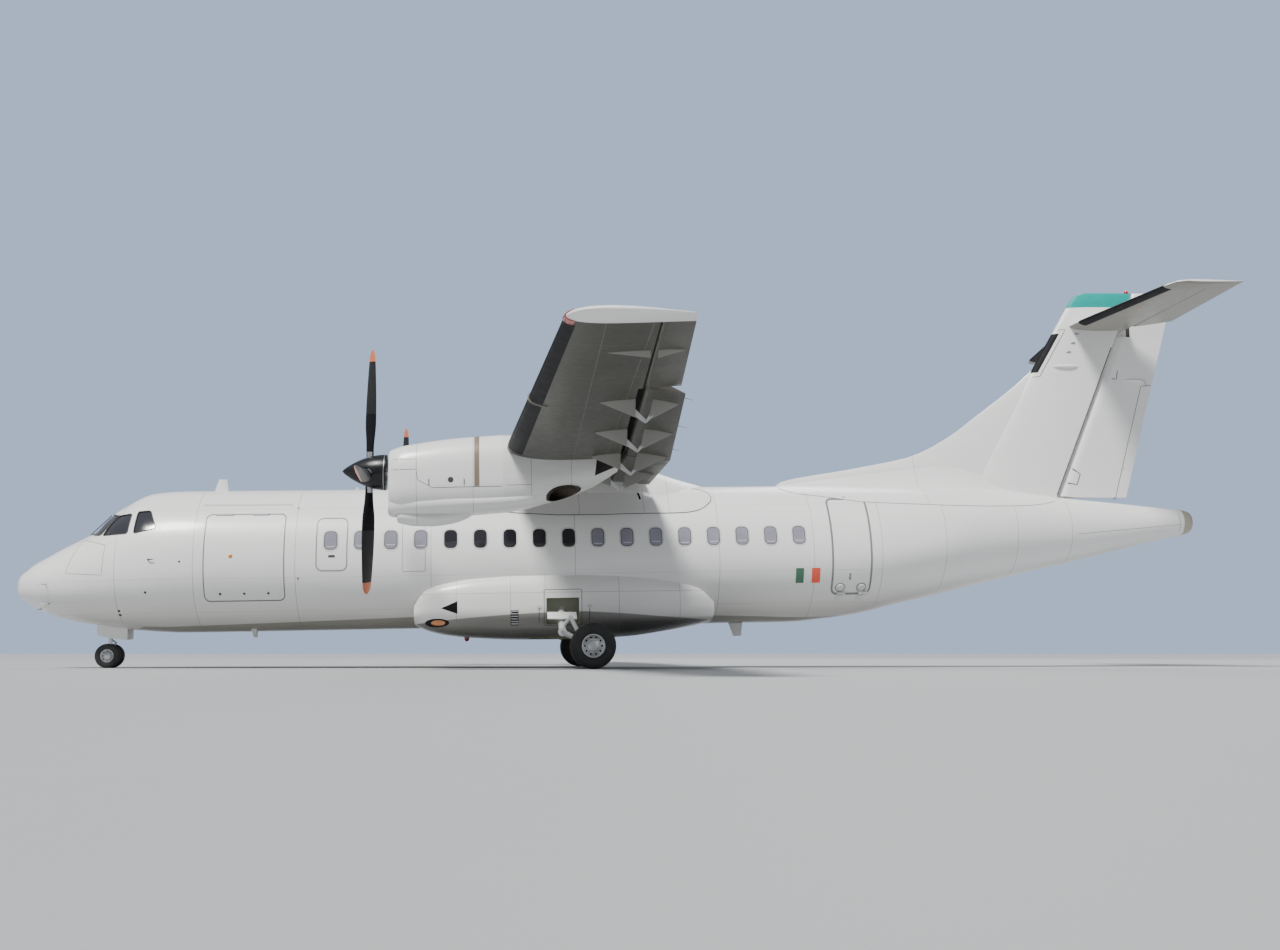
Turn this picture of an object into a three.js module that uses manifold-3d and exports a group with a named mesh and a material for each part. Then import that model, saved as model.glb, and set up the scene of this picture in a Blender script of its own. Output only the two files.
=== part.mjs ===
// Twin-turboprop regional airliner with a high wing and a T-tail, standing on its landing gear.
// Millimetres, +Z up, +X towards the nose, +Y to port, origin on the ground under the middle of its box.
//
// Airframe pieces are drawn in the airframe's own frame: stations run aft from the nose tip,
// heights are above the fuselage's upper centre, and one group pitches them to the parked attitude.
// Landing-gear pieces are drawn upright in the ground frame.

import * as THREE from 'three';
import { mergeVertices } from 'three/addons/utils/BufferGeometryUtils.js';
import Module from 'manifold-3d';

const wasm = await Module();
wasm.setup();

// Attitude and place of the airframe
const REFERENCE_STATION = 11317.3; // station that lies over the origin
const CENTRE_HEIGHT = 2009; // fuselage upper centre above the ground at that station
const PARKED_PITCH = THREE.MathUtils.degToRad(1.127); // nose down
const SEAT_GAP = 0.3; // between pieces that touch

// Fuselage
const RADOME_JOINT = 600;
const NOSE_JOINT = 3300;
const FORWARD_JOINT = 5350;
const AFT_JOINT = 14550;
const TAIL_JOINT = 16200;
const CONE_JOINT = 20000;
const BODY_SEGMENTS = 28;
// station, half width, top, widest, bottom
const FUSELAGE = [
  [0, 30, -270, -300, -330],
  [30, 120, -158, -298, -463],
  [100, 280, -71, -292, -543],
  [200, 413, -2, -284, -602],
  [350, 557, 112, -272, -700],
  [600, 740, 247, -252, -807],
  [900, 897, 412, -228, -917],
  [1200, 1030, 559, -196, -987],
  [1500, 1150, 729, -160, -1038],
  [1700, 1206, 965, -136, -1084],
  [2100, 1306, 1234, -92, -1134],
  [2300, 1338, 1340, -76, -1150],
  [2500, 1370, 1395, -60, -1168],
  [3000, 1415, 1430, -20, -1195],
  [3600, 1432.5, 1432.5, 0, -1200],
  [14300, 1432.5, 1432.5, 0, -1200],
  [15000, 1432.5, 1432, 10, -1150],
  [15700, 1415, 1430, 40, -1065],
  [16500, 1345, 1425, 130, -887],
  [17200, 1250, 1405, 240, -745],
  [18000, 1090, 1360, 380, -562],
  [19000, 870, 1270, 460, -348],
  [20050, 650, 1150, 510, -125],
  [21000, 480, 1050, 567, 85],
  [22000, 310, 940, 623, 307],
  [22450, 240, 887, 640, 395],
  [22600, 190, 830, 640, 450],
  [22640, 90, 740, 640, 540],
];

// Flight-deck glazing: side panes by station and height, front pane by width and height
const GLASS_DEPTH = 22;
const GLASS_FRONT = 1250;
const GLASS_REAR = 2850;
const GLASS_LOW = 430;
const GLASS_HIGH = 1150;
const SIDE_PANES = [
  [[1745, 535], [1925, 915], [2240, 943], [2225, 557]],
  [[2335, 553], [2345, 975], [2580, 985], [2735, 645]],
];
const FRONT_PANE = [[35, 650], [35, 1035], [780, 915], [960, 545]];

// Doors: stations and heights of the cut-outs
const PANEL_THICKNESS = 60;
const MOVING_GAP = 6;
const CARGO_DOOR = { front: 3610, rear: 5000, low: -670, high: 880 };
const PASSENGER_DOOR = { front: 14980, rear: 15690, low: -700, high: 1070 };
const SERVICE_DOOR = { front: 15020, rear: 15630, low: -700, high: 520 };
const CARGO_BAY = { front: 3550, rear: 5100, reach: 950, low: -670, high: 880 };
const ENTRANCE = { front: 14750, rear: 15950, reach: 900, low: -700, high: 1000 };
const DOORWAY_DEPTH = 500; // width kept as the cut runs in from the skin
const KNUCKLE_RADIUS = 26;
const KNUCKLE_CLEARANCE = 6;
const KNUCKLE_END_GAP = 0.5;
const KNUCKLE_STAND_OFF = 4; // hinge axis outside the skin
const HINGE_ARM = { root: 30, reach: 44 }; // into the skin, and along it from the axis
const STAIR_ANGLE = THREE.MathUtils.degToRad(128);
const STAIR_STEPS = 5;

// Wing: half span, leading edge, chord, thickness ratio, height of the leading edge
const WING = [
  [0, 8960, 2580, 0.18, 1600],
  [4400, 8960, 2580, 0.18, 1600],
  [11900, 9560, 1457, 0.13, 1941],
  [12180, 9680, 1318, 0.1, 1953],
  [12285, 9900, 1090, 0.05, 1957],
];
const WING_JOINT = 4400;
const WING_CAMBER = 0.02;
const WING_INCIDENCE = THREE.MathUtils.degToRad(2);
const AEROFOIL_POINTS = 18;
const TRAILING_EDGE = 3; // half thickness

// Flaps: spans, cove face and gap; the hinge lies under the wing, on the fairings' low points
const COVE = { inner: 10780, outer: 10655, outerSpan: 8965 };
const FLAP_GAP = 20;
const INBOARD_FLAP = { inner: 1016, outer: 4362 };
const OUTBOARD_FLAP = { inner: 4402, outer: 8930 };
const WING_ROOT_FACE = 1004;
const FLAP_REST = THREE.MathUtils.degToRad(12); // trailing edge down as parked
const FLAP_HINGE_IN = { station: 10950, height: 1110 };
const FLAP_HINGE_OUT = { span: 8930, station: 10795, height: 1420 };
// span, half width, fore tip station
const FLAP_FAIRINGS = [
  [2500, 120, 10250],
  [4600, 120, 10300],
  [6400, 105, 10250],
  [8300, 95, 10200],
];
const AILERON = { inner: 9000, outer: 11980, endGap: 15 };
const AILERON_HINGE = { inner: 10790, outer: 10670, innerHeight: 1765, outerHeight: 1912 };
const AILERON_NOSE = { inner: 64, outer: 38, gap: 12 };

// Wing and belly fairings: station, half width, top, widest, bottom
const WING_FAIRING = [
  [7900, 420, 1430, 900, 600],
  [8280, 690, 1590, 900, 600],
  [8650, 860, 1810, 900, 600],
  [9020, 950, 1965, 900, 600],
  [9600, 955, 2040, 900, 600],
  [10700, 950, 2010, 900, 600],
  [11300, 935, 1900, 900, 600],
  [11740, 900, 1760, 900, 600],
  [12200, 780, 1600, 900, 600],
  [12750, 480, 1440, 900, 600],
];
const BELLY_FAIRING = [
  [7280, 1150, -700, -900, -1160],
  [7450, 1360, -420, -780, -1240],
  [7800, 1460, -250, -750, -1330],
  [8400, 1515, -120, -750, -1400],
  [9300, 1530, -60, -750, -1445],
  [10300, 1530, -60, -750, -1450],
  [11200, 1510, -120, -750, -1420],
  [12000, 1440, -250, -760, -1320],
  [12500, 1330, -420, -780, -1235],
  [12760, 1150, -700, -900, -1180],
];
const BELLY_POWER = 3; // squareness of the belly fairing's section
const BELLY_SEGMENTS = 20;
const WHEEL_WELL = { station: 9770, span: 540, radius: 430, ceiling: -1000 };
const LEG_BAY = { front: 9660, rear: 10250, reach: 1240, low: -1190, high: -720 };

// Nacelle about its own centre plane: station, half width, top, widest, bottom
const NACELLE_SPAN = 4050;
const NACELLE = [
  [7070, 320, 1600, 1120, 560],
  [7240, 400, 1665, 1120, 440],
  [7640, 445, 1735, 1120, 370],
  [8000, 462, 1785, 1130, 400],
  [8400, 470, 1820, 1150, 520],
  [8960, 468, 1850, 1165, 590],
  [9640, 430, 1800, 1200, 740],
  [10320, 345, 1740, 1280, 970],
  [10770, 230, 1700, 1380, 1240],
];
const NACELLE_POWER = 2.4;
const COWL_THICKNESS = 28;
const COWL_FRONT = 7100;
const FIREWALL = 8900;
const INTAKE = { reach: 215, low: 600, high: 880 };
const EXHAUST = { start: [9250, 55, 1035], end: [10750, 505, 600], radius: 175, wall: 18, bore: 0.15 };

// Propeller and engine, about the thrust line
const THRUST_LINE = { station: 6750, height: 1262 };
const THRUST_INCIDENCE = THREE.MathUtils.degToRad(2);
const SHAFT_HOLE = 265;
const SPINNER_LENGTH = 700;
const SPINNER_RADIUS = 290;
const SPINNER_TIP = 440; // ahead of the blades
const SPINNER_WALL = 16;
const BACKPLATE = 12; // disc behind the spinner's rim
const BLADE_COUNT = 4;
const BLADE_REST_ANGLE = THREE.MathUtils.degToRad(8);
const BLADE_ROOT_RADIUS = 62;
// radius, chord, thickness, blade angle from the disc in degrees
const BLADE = [
  [120, 118, 100, 62],
  [420, 150, 78, 54],
  [800, 262, 46, 44],
  [1300, 300, 30, 34],
  [1780, 270, 18, 27],
  [1940, 205, 12, 25],
  [1980, 130, 8, 25],
];

// Tail
// height, leading edge, trailing edge, half thickness
const FIN = [
  [900, 17766, 21257, 205],
  [3720, 19500, 22101, 150],
  [5180, 20398, 22538, 112],
  [5290, 20490, 22571, 80],
  [5345, 20700, 22570, 30],
];
const DORSAL = [
  [1200, 14000, 19200, 105],
  [1510, 14290, 19300, 105],
  [1780, 15790, 19400, 100],
  [2000, 16900, 19500, 98],
  [2350, 17650, 19600, 94],
  [2870, 18390, 19800, 90],
  [3420, 19130, 20000, 84],
  [3760, 19530, 20100, 80],
];
const RUDDER_GAP = { station: 19351, slope: 0.4425, width: 30 };
const RUDDER_HINGE_SETBACK = 220;
const RUDDER_NOSE_RADIUS = 215;
const RUDDER_FOOT = { front: 1190, rear: 1062 };
const RUDDER_NOTCH = { low: 4420, high: 4860, station: 21585 };
const FIN_TIP_HEIGHT = 5030;
const TAILPLANE_HEIGHT = 4640;
// span, leading edge, trailing edge, half thickness
const TAILPLANE = [
  [0, 20300, 22275, 100],
  [3250, 20770, 22105, 68],
  [3560, 20860, 22092, 48],
  [3655, 21060, 22060, 14],
];
const ELEVATOR = { inner: 370, innerRear: 620, outer: 3290, hingeIn: 21560, hingeOut: 21575, gap: 12 };
const ELEVATOR_NOSE = { inner: 62, outer: 40 };

// Hinge pins of the control surfaces and flaps, in holes a little wider
const PIN = { radius: 10, play: 0.95, endGap: 3, segments: 8 };
const PIN_REACH = 28; // into the fixed structure
const RUDDER_PIN = { high: 1300, low: 1090 };
const FLAP_ARM = { half: 8, eye: 22, root: 40, cheekInner: 14, cheekOuter: 22 };
// Cheek of a flap's hinge fork, about its pin: aft, up
const FLAP_CHEEK = [[-14, 0], [0, -14], [16, -6], [110, 150], [60, 200], [-6, 14]];

// Landing gear, in the ground frame
const TYRE_SEGMENTS = 20;
const NOSE_WHEEL = { station: 1700, radius: 225, width: 170, bore: 118, spacing: 145 };
const MAIN_WHEEL = { station: 10480, span: 2050, radius: 405, width: 220, bore: 205, spacing: 182 };
const NOSE_AXLE_RADIUS = 24;
const MAIN_AXLE_RADIUS = 40;
const AXLE_PLAY = 0.9;
const NOSE_BAY = { front: 1475, rear: 2040, reach: 220, ceiling: -640 };
const NOSE_LEG = { radius: 58, top: 1290, foot: 610, piston: 36 };
const NOSE_DOOR = { thickness: 14, drop: 205 };
const MAIN_KNEE = { station: 9950, span: 2050, height: 640 };
const MAIN_ROOT = { span: 1150, height: 1110 };
const STRUT_RADIUS = 66;
const SIDE_BRACE = { span: 1000, height: 640, radius: 26 };
const SHOCK_TOP = { station: 10090, height: 900 };
const MAIN_DOOR = { front: 9690, rear: 10210, from: 0.46, to: 0.72, offset: 108, thickness: 16 };

// Paint and bare materials: colour, roughness, metalness
const FINISHES = {
  white: [0xeeeeec, 0.35, 0.0],
  grey: [0x9a9b98, 0.45, 0.0],
  teal: [0x15907c, 0.4, 0.0],
  black: [0x17171b, 0.5, 0.0],
  glass: [0x20242b, 0.12, 0.0],
  steel: [0x8f9296, 0.35, 0.9],
  burnt: [0x3a322c, 0.55, 0.8],
  rubber: [0x1b1b1c, 0.85, 0.0],
  gear: [0xd9dbdc, 0.4, 0.1],
};

const plane = new THREE.Group();
const airframe = new THREE.Group();
airframe.rotation.y = PARKED_PITCH;
airframe.position.z = CENTRE_HEIGHT;
plane.add(airframe);
plane.updateMatrixWorld(true);

const at = (station) => REFERENCE_STATION - station;
const point = (station, span, height) => new THREE.Vector3(at(station), span, height);
const mix = (from, to, share) => from + (to - from) * share;

// Ground-frame point drawn at a station
function groundPoint(station, span, height) {
  const base = point(station, 0, 0).applyMatrix4(airframe.matrixWorld);
  return new THREE.Vector3(base.x, span, height);
}

// Closed geometry to solid, faces turned outwards
function solid(geometry) {
  const bare = (geometry.index ? geometry : mergeVertices(geometry)).clone();
  bare.deleteAttribute('normal');
  bare.deleteAttribute('uv');
  const merged = mergeVertices(bare, 1e-3);
  const places = merged.attributes.position;
  const triangles = [];
  let volume = 0;
  const corners = [new THREE.Vector3(), new THREE.Vector3(), new THREE.Vector3()];
  for (let i = 0; i < merged.index.count; i += 3) {
    const face = [0, 1, 2].map((k) => merged.index.getX(i + k));
    if (new Set(face).size < 3) continue;
    face.forEach((vertex, k) => corners[k].fromBufferAttribute(places, vertex));
    volume += corners[0].dot(corners[1].clone().cross(corners[2]));
    triangles.push(...face);
  }
  if (volume < 0) {
    for (let i = 0; i < triangles.length; i += 3) {
      [triangles[i + 1], triangles[i + 2]] = [triangles[i + 2], triangles[i + 1]];
    }
  }
  return new wasm.Manifold(new wasm.Mesh({
    numProp: 3,
    vertProperties: new Float32Array(places.array),
    triVerts: new Uint32Array(triangles),
  }));
}

// Named mesh of a solid, added to a group
function piece(group, name, body, finish) {
  const mesh = body.getMesh();
  const geometry = new THREE.BufferGeometry();
  geometry.setAttribute('position', new THREE.BufferAttribute(new Float32Array(mesh.vertProperties), 3));
  geometry.setIndex(new THREE.BufferAttribute(new Uint32Array(mesh.triVerts), 1));
  const [color, roughness, metalness] = FINISHES[finish];
  const part = new THREE.Mesh(geometry, new THREE.MeshStandardMaterial({ color, roughness, metalness }));
  part.name = name;
  group.add(part);
}

// Skin over rings of equal point count, closed by flat ends
function loft(rings) {
  const around = rings[0].length;
  const rows = rings.length - 1;
  const geometry = new THREE.CylinderGeometry(1, 1, rows, around, rows);
  const places = geometry.attributes.position;
  const middles = rings.map((ring) => {
    const sum = ring.reduce((total, place) => total.add(place), new THREE.Vector3());
    return sum.divideScalar(around);
  });
  for (let i = 0; i < places.count; i += 1) {
    const row = Math.round(rows / 2 - places.getY(i));
    const turn = Math.atan2(places.getX(i), places.getZ(i)) / (2 * Math.PI);
    const step = (Math.round(turn * around) + around) % around;
    const centred = Math.hypot(places.getX(i), places.getZ(i)) < 0.5;
    const place = centred ? middles[row] : rings[row][step];
    places.setXYZ(i, place.x, place.y, place.z);
  }
  return solid(geometry);
}

// Row of a table at a value of its first column
function rowAt(table, value) {
  const next = table.findIndex((row) => row[0] >= value);
  if (next <= 0) return next === 0 ? [...table[0]] : [...table[table.length - 1]];
  const [before, after] = [table[next - 1], table[next]];
  const share = (value - before[0]) / (after[0] - before[0]);
  return before.map((cell, column) => mix(cell, after[column], share));
}

// Rows of a table between two values, with rows made at the ends
function rowsBetween(table, low, high) {
  const inside = table.filter((row) => row[0] > low + 1 && row[0] < high - 1);
  return [rowAt(table, low), ...inside, rowAt(table, high)];
}

const rounded = (value, power) => Math.sign(value) * Math.abs(value) ** (2 / power);

// Closed section across the airframe
function bodyRing([station, halfWidth, top, widest, bottom], grow, power, span, segments) {
  return Array.from({ length: segments }, (_, k) => {
    const angle = (2 * Math.PI * k) / segments;
    const side = rounded(Math.cos(angle), power) * (halfWidth + grow);
    const lift = rounded(Math.sin(angle), power);
    const height = lift >= 0 ? top - widest + grow : widest - bottom + grow;
    return point(station, span + side, widest + lift * height);
  });
}

function body(table, low, high, { grow = 0, power = 2, span = 0, segments = BODY_SEGMENTS } = {}) {
  const rows = rowsBetween(table, low, high);
  return loft(rows.map((row) => bodyRing(row, grow, power, span, segments)));
}

// Half thickness of a symmetric aerofoil, for a thickness ratio of one
function aerofoil(x) {
  const square = 0.2969 * Math.sqrt(x) - 0.126 * x - 0.3516 * x ** 2;
  return 5 * (square + 0.2843 * x ** 3 - 0.1036 * x ** 4);
}

const AEROFOIL_PEAK = aerofoil(0.3);

function aerofoilSteps(draw) {
  return Array.from({ length: AEROFOIL_POINTS }, (_, k) => {
    const angle = (2 * Math.PI * k) / AEROFOIL_POINTS;
    return draw((1 + Math.cos(angle)) / 2, Math.sign(Math.sin(angle).toFixed(6)));
  });
}

// Wing section in a plane of constant span
function wingRing(span, grow) {
  const [, leading, chord, ratio, height] = rowAt(WING, Math.abs(span));
  return aerofoilSteps((x, side) => {
    const middle = height - x * chord * Math.tan(WING_INCIDENCE) + 4 * WING_CAMBER * chord * x * (1 - x);
    const half = aerofoil(x) * ratio * chord + TRAILING_EDGE * x + grow;
    return point(leading + x * (chord + 2 * grow) - grow, span, middle + side * half);
  });
}

function wing(spans, grow = 0) {
  return loft(spans.map((span) => wingRing(span, grow)));
}

// Symmetric lifting surface by rows of place, leading edge, trailing edge and half thickness
function surface(rows, grow, stand) {
  return loft(rows.map(([place, leading, trailing, half]) => aerofoilSteps((x, side) => {
    const lift = side * ((aerofoil(x) / AEROFOIL_PEAK) * half + TRAILING_EDGE * x + grow);
    return stand(mix(leading - grow, trailing + grow, x), place, lift);
  })));
}

const uprightPoint = (station, place, lift) => point(station, lift, place);
const levelPoint = (station, place, lift) => point(station, place, TAILPLANE_HEIGHT + lift);

// Straight-sided block: outline in two columns, run along the third direction
function prism(outline, direction, low, high) {
  const shape = new THREE.Shape(outline.map(([u, v]) => new THREE.Vector2(u, v)));
  const geometry = new THREE.ExtrudeGeometry(shape, { depth: high - low, bevelEnabled: false });
  const [ex, ey, ez] = [new THREE.Vector3(1, 0, 0), new THREE.Vector3(0, 1, 0), new THREE.Vector3(0, 0, 1)];
  const bases = {
    x: [ey, ez, ex, low],
    y: [ex, ez, ey.clone().negate(), -high],
    z: [ex, ey, ez, low],
  };
  const [u, v, w, start] = bases[direction];
  geometry.translate(0, 0, start);
  geometry.applyMatrix4(new THREE.Matrix4().makeBasis(u, v, w));
  return solid(geometry);
}

const sideOutline = (corners) => corners.map(([station, height]) => [at(station), height]);
const planOutline = (corners) => corners.map(([station, span]) => [at(station), span]);

function box(front, rear, spanLow, spanHigh, low, high) {
  const corners = sideOutline([[front, low], [rear, low], [rear, high], [front, high]]);
  return prism(corners, 'y', spanLow, spanHigh);
}

// Round bar between two places
function bar(start, end, radius, segments = 16, endRadius = radius) {
  const run = end.clone().sub(start);
  const geometry = new THREE.CylinderGeometry(endRadius, radius, run.length(), segments);
  geometry.translate(0, run.length() / 2, 0);
  const turn = new THREE.Quaternion().setFromUnitVectors(new THREE.Vector3(0, 1, 0), run.normalize());
  geometry.applyQuaternion(turn);
  geometry.translate(start.x, start.y, start.z);
  return solid(geometry);
}

// Hinge pin, or with its play the hole that it turns in
function pin(start, end, play = 0) {
  const along = end.clone().sub(start).normalize().multiplyScalar(play > 0 ? PIN.endGap : 0);
  return bar(start.clone().sub(along), end.clone().add(along), PIN.radius + play, PIN.segments);
}

// Turned piece: outline of radius and place along an axis through a point
function turned(outline, origin, axis, segments) {
  const closed = outline.map(([radius, along]) => new THREE.Vector2(radius, along));
  const hollow = outline[0][0] > 0;
  if (hollow) closed.push(closed[0].clone());
  const geometry = new THREE.LatheGeometry(closed, segments);
  geometry.rotateY(Math.PI / segments);
  const turn = new THREE.Quaternion().setFromUnitVectors(new THREE.Vector3(0, 1, 0), axis.clone().normalize());
  geometry.applyQuaternion(turn);
  geometry.translate(origin.x, origin.y, origin.z);
  return solid(geometry);
}

const join = (solids) => solids.reduce((whole, next) => whole.add(next));
const cut = (whole, ...tools) => tools.reduce((rest, tool) => rest.subtract(tool), whole);

function spanwise(side, inner, outer) {
  return side > 0 ? [inner, outer] : [-outer, -inner];
}

const SIDES = [{ side: 1, name: 'left' }, { side: -1, name: 'right' }];

// Skin height and outward direction of the fuselage side
function skinAt(station, height) {
  const [, halfWidth, top, widest, bottom] = rowAt(FUSELAGE, station);
  const reach = height >= widest ? top - widest : widest - bottom;
  const lift = (height - widest) / reach;
  const span = halfWidth * Math.sqrt(1 - lift ** 2);
  const normal = new THREE.Vector2(span / halfWidth ** 2, (height - widest) / reach ** 2).normalize();
  return { span, normal };
}

// Hinge axis just outside the skin at its widest, along the airframe
function skinHinge(station, height) {
  const { span, normal } = skinAt(station, height);
  return [span + normal.x * KNUCKLE_STAND_OFF, height + normal.y * KNUCKLE_STAND_OFF];
}

// Arms that carry the knuckles out from the skin, above or below the hinge axis
function hingeArms(stations, [span, height], low, high) {
  return join(stations.map(([front, rear]) => box(
    front, rear, skinAt(rear, height).span - HINGE_ARM.root, span, height + low, height + high,
  )));
}

function knuckles(stations, [span, height], radius, grow) {
  return join(stations.map(([front, rear]) => bar(
    point(front - grow, span, height),
    point(rear + grow, span, height),
    radius,
    8,
  )));
}

// Fuselage inside of a skin panel of a given depth
function panelCore({ front, rear }, depth) {
  return body(FUSELAGE, front - 50, rear + 50, { grow: -depth });
}

// Panel of the skin that fills a cut-out
function skinPanel({ front, rear, low, high }, gap, side) {
  const zone = side > 0 ? [300, 1600] : [-1600, -300];
  const window = box(front + gap, rear - gap, ...zone, low + gap, high - gap);
  return body(FUSELAGE, front - 49, rear + 49)
    .intersect(window)
    .subtract(panelCore({ front, rear }, PANEL_THICKNESS));
}

function doorway({ front, rear, low, high }) {
  return box(front, rear, DOORWAY_DEPTH, 1700, low, high);
}

function room({ front, rear, reach, low, high }) {
  return box(front, rear, -reach, reach, low, high);
}

// Flight deck
function glazingZone(depth, grow) {
  const low = GLASS_FRONT - grow;
  const high = GLASS_REAR + grow;
  const zone = box(low, high, -1500, 1500, GLASS_LOW - grow, GLASS_HIGH + grow);
  return body(FUSELAGE, low, high, { grow: -depth }).intersect(zone);
}

function paneCuts() {
  const cuts = [];
  for (const { side } of SIDES) {
    for (const pane of SIDE_PANES) {
      const spans = side > 0 ? [600, 1600] : [-1600, -600];
      cuts.push(prism(sideOutline(pane), 'y', ...spans));
    }
    const front = FRONT_PANE.map(([span, height]) => [side * span, height]);
    cuts.push(prism(front, 'x', at(2150), at(1150)));
  }
  return cuts;
}

function noseBay() {
  const { front, rear, reach, ceiling } = NOSE_BAY;
  return box(front, rear, -reach, reach, -1400, ceiling);
}

const JACK_PAD = { radius: 70, depth: 16 };

function jackPad(station, span, height) {
  return bar(point(station, span, height + 60), point(station, span, height - JACK_PAD.depth), JACK_PAD.radius);
}

function noseSocket() {
  const foot = groundPoint(NOSE_WHEEL.station, 0, NOSE_LEG.foot);
  const top = groundPoint(NOSE_WHEEL.station, 0, NOSE_LEG.top + SEAT_GAP);
  return toAirframe(bar(foot, top, NOSE_LEG.radius + SEAT_GAP));
}

// Solid moved by a matrix
function moved(body, matrix) {
  const mesh = body.getMesh();
  const geometry = new THREE.BufferGeometry();
  geometry.setAttribute('position', new THREE.BufferAttribute(new Float32Array(mesh.vertProperties), 3));
  geometry.setIndex(new THREE.BufferAttribute(new Uint32Array(mesh.triVerts), 1));
  geometry.applyMatrix4(matrix);
  return solid(geometry);
}

// Solid drawn in the ground frame, taken into the airframe's frame
function toAirframe(body) {
  return moved(body, airframe.matrixWorld.clone().invert());
}

const NOSE_PAD = { station: 2650, height: -1178 };

piece(airframe, 'radome', body(FUSELAGE, 0, RADOME_JOINT - SEAT_GAP), 'white');
piece(airframe, 'fuselage_nose', cut(
  join([
    body(FUSELAGE, RADOME_JOINT, NOSE_JOINT - SEAT_GAP),
    jackPad(NOSE_PAD.station, 0, NOSE_PAD.height),
  ]),
  glazingZone(GLASS_DEPTH - SEAT_GAP, SEAT_GAP),
  ...paneCuts(),
  noseBay(),
  noseSocket(),
), 'white');
piece(airframe, 'flight_deck_glazing', glazingZone(GLASS_DEPTH, 0), 'glass');

// Cargo door, hinged along its top
const CARGO_HINGE = skinHinge(4300, CARGO_DOOR.high);
const CARGO_KNUCKLES = [[3760, 3960], [4400, 4600]];
const CARGO_MATES = [[3960, 4060], [4600, 4700]];

function knuckleRuns(stations) {
  return stations.map(([front, rear]) => [front + KNUCKLE_END_GAP, rear]);
}

piece(airframe, 'fuselage_forward', join([
  cut(
    body(FUSELAGE, NOSE_JOINT, FORWARD_JOINT - SEAT_GAP),
    doorway(CARGO_DOOR),
    room(CARGO_BAY),
    knuckles(CARGO_KNUCKLES, CARGO_HINGE, KNUCKLE_RADIUS + KNUCKLE_CLEARANCE, KNUCKLE_CLEARANCE),
  ),
  knuckles(knuckleRuns(CARGO_MATES), CARGO_HINGE, KNUCKLE_RADIUS, 0),
]), 'white');
piece(airframe, 'cargo_door', join([
  cut(
    skinPanel(CARGO_DOOR, MOVING_GAP, 1),
    knuckles(CARGO_MATES, CARGO_HINGE, KNUCKLE_RADIUS + KNUCKLE_CLEARANCE, KNUCKLE_CLEARANCE),
  ),
  knuckles(CARGO_KNUCKLES, CARGO_HINGE, KNUCKLE_RADIUS, 0),
]), 'white');

piece(airframe, 'fuselage_centre', body(FUSELAGE, FORWARD_JOINT, AFT_JOINT - SEAT_GAP), 'white');

// Passenger door with its stair, hinged along its foot
const STAIR_HINGE = skinHinge(PASSENGER_DOOR.front, PASSENGER_DOOR.low);
const STAIR_KNUCKLES = [[15080, 15180], [15490, 15590]];
const STAIR_MATES = [[15180, 15240], [15590, 15650]];
const STRINGER = { inset: 55, thickness: 26, depth: 70 };
const STEP = { first: 330, pitch: 290, depth: 230, thickness: 26 };

function stringer(station) {
  const heights = [-600, -300, 0, 300, 600, 900];
  const skin = (height, depth) => [skinAt(station, height).span - depth, height];
  const outer = heights.map((height) => skin(height, PANEL_THICKNESS - 15));
  const inner = heights.map((height) => skin(height, PANEL_THICKNESS + STRINGER.depth)).reverse();
  return prism([...outer, ...inner], 'x', at(station + STRINGER.thickness), at(station));
}

// Step that lies level once the door is down, drawn with the door shut
function step(index) {
  const height = PASSENGER_DOOR.low + STEP.first + index * STEP.pitch;
  const back = skinAt(15300, height).span - PANEL_THICKNESS + 10;
  const tilt = STAIR_ANGLE - Math.PI / 2;
  const along = new THREE.Vector2(-Math.cos(tilt), Math.sin(tilt) * -1);
  const across = new THREE.Vector2(-along.y, along.x).multiplyScalar(STEP.thickness);
  const root = new THREE.Vector2(back, height);
  const tip = root.clone().addScaledVector(along, STEP.depth);
  const corners = [root, tip, tip.clone().add(across), root.clone().add(across)];
  const outline = corners.map((corner) => [corner.x, corner.y]);
  const { front, rear } = PASSENGER_DOOR;
  return prism(outline, 'x', at(rear - STRINGER.inset), at(front + STRINGER.inset));
}

piece(airframe, 'fuselage_aft', join([
  cut(
    body(FUSELAGE, AFT_JOINT, TAIL_JOINT - SEAT_GAP),
    doorway(PASSENGER_DOOR),
    room(ENTRANCE),
    box(
      SERVICE_DOOR.front - SEAT_GAP, SERVICE_DOOR.rear + SEAT_GAP, -1700, -300,
      SERVICE_DOOR.low - SEAT_GAP, SERVICE_DOOR.high + SEAT_GAP,
    ).subtract(panelCore(SERVICE_DOOR, PANEL_THICKNESS + SEAT_GAP)),
    knuckles(STAIR_KNUCKLES, STAIR_HINGE, KNUCKLE_RADIUS + KNUCKLE_CLEARANCE, KNUCKLE_CLEARANCE),
  ),
  knuckles(knuckleRuns(STAIR_MATES), STAIR_HINGE, KNUCKLE_RADIUS, 0),
  hingeArms(knuckleRuns(STAIR_MATES), STAIR_HINGE, -HINGE_ARM.reach, -8),
]), 'white');
piece(airframe, 'passenger_door', join([
  cut(
    skinPanel(PASSENGER_DOOR, MOVING_GAP, 1),
    knuckles(STAIR_MATES, STAIR_HINGE, KNUCKLE_RADIUS + KNUCKLE_CLEARANCE, KNUCKLE_CLEARANCE),
  ),
  knuckles(STAIR_KNUCKLES, STAIR_HINGE, KNUCKLE_RADIUS, 0),
  hingeArms(STAIR_KNUCKLES, STAIR_HINGE, 10, HINGE_ARM.reach),
  stringer(PASSENGER_DOOR.front + STRINGER.inset),
  stringer(PASSENGER_DOOR.rear - STRINGER.inset - STRINGER.thickness),
  ...Array.from({ length: STAIR_STEPS }, (_, k) => step(k)),
]), 'white');
piece(airframe, 'service_door', skinPanel(SERVICE_DOOR, 0, -1), 'white');

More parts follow.
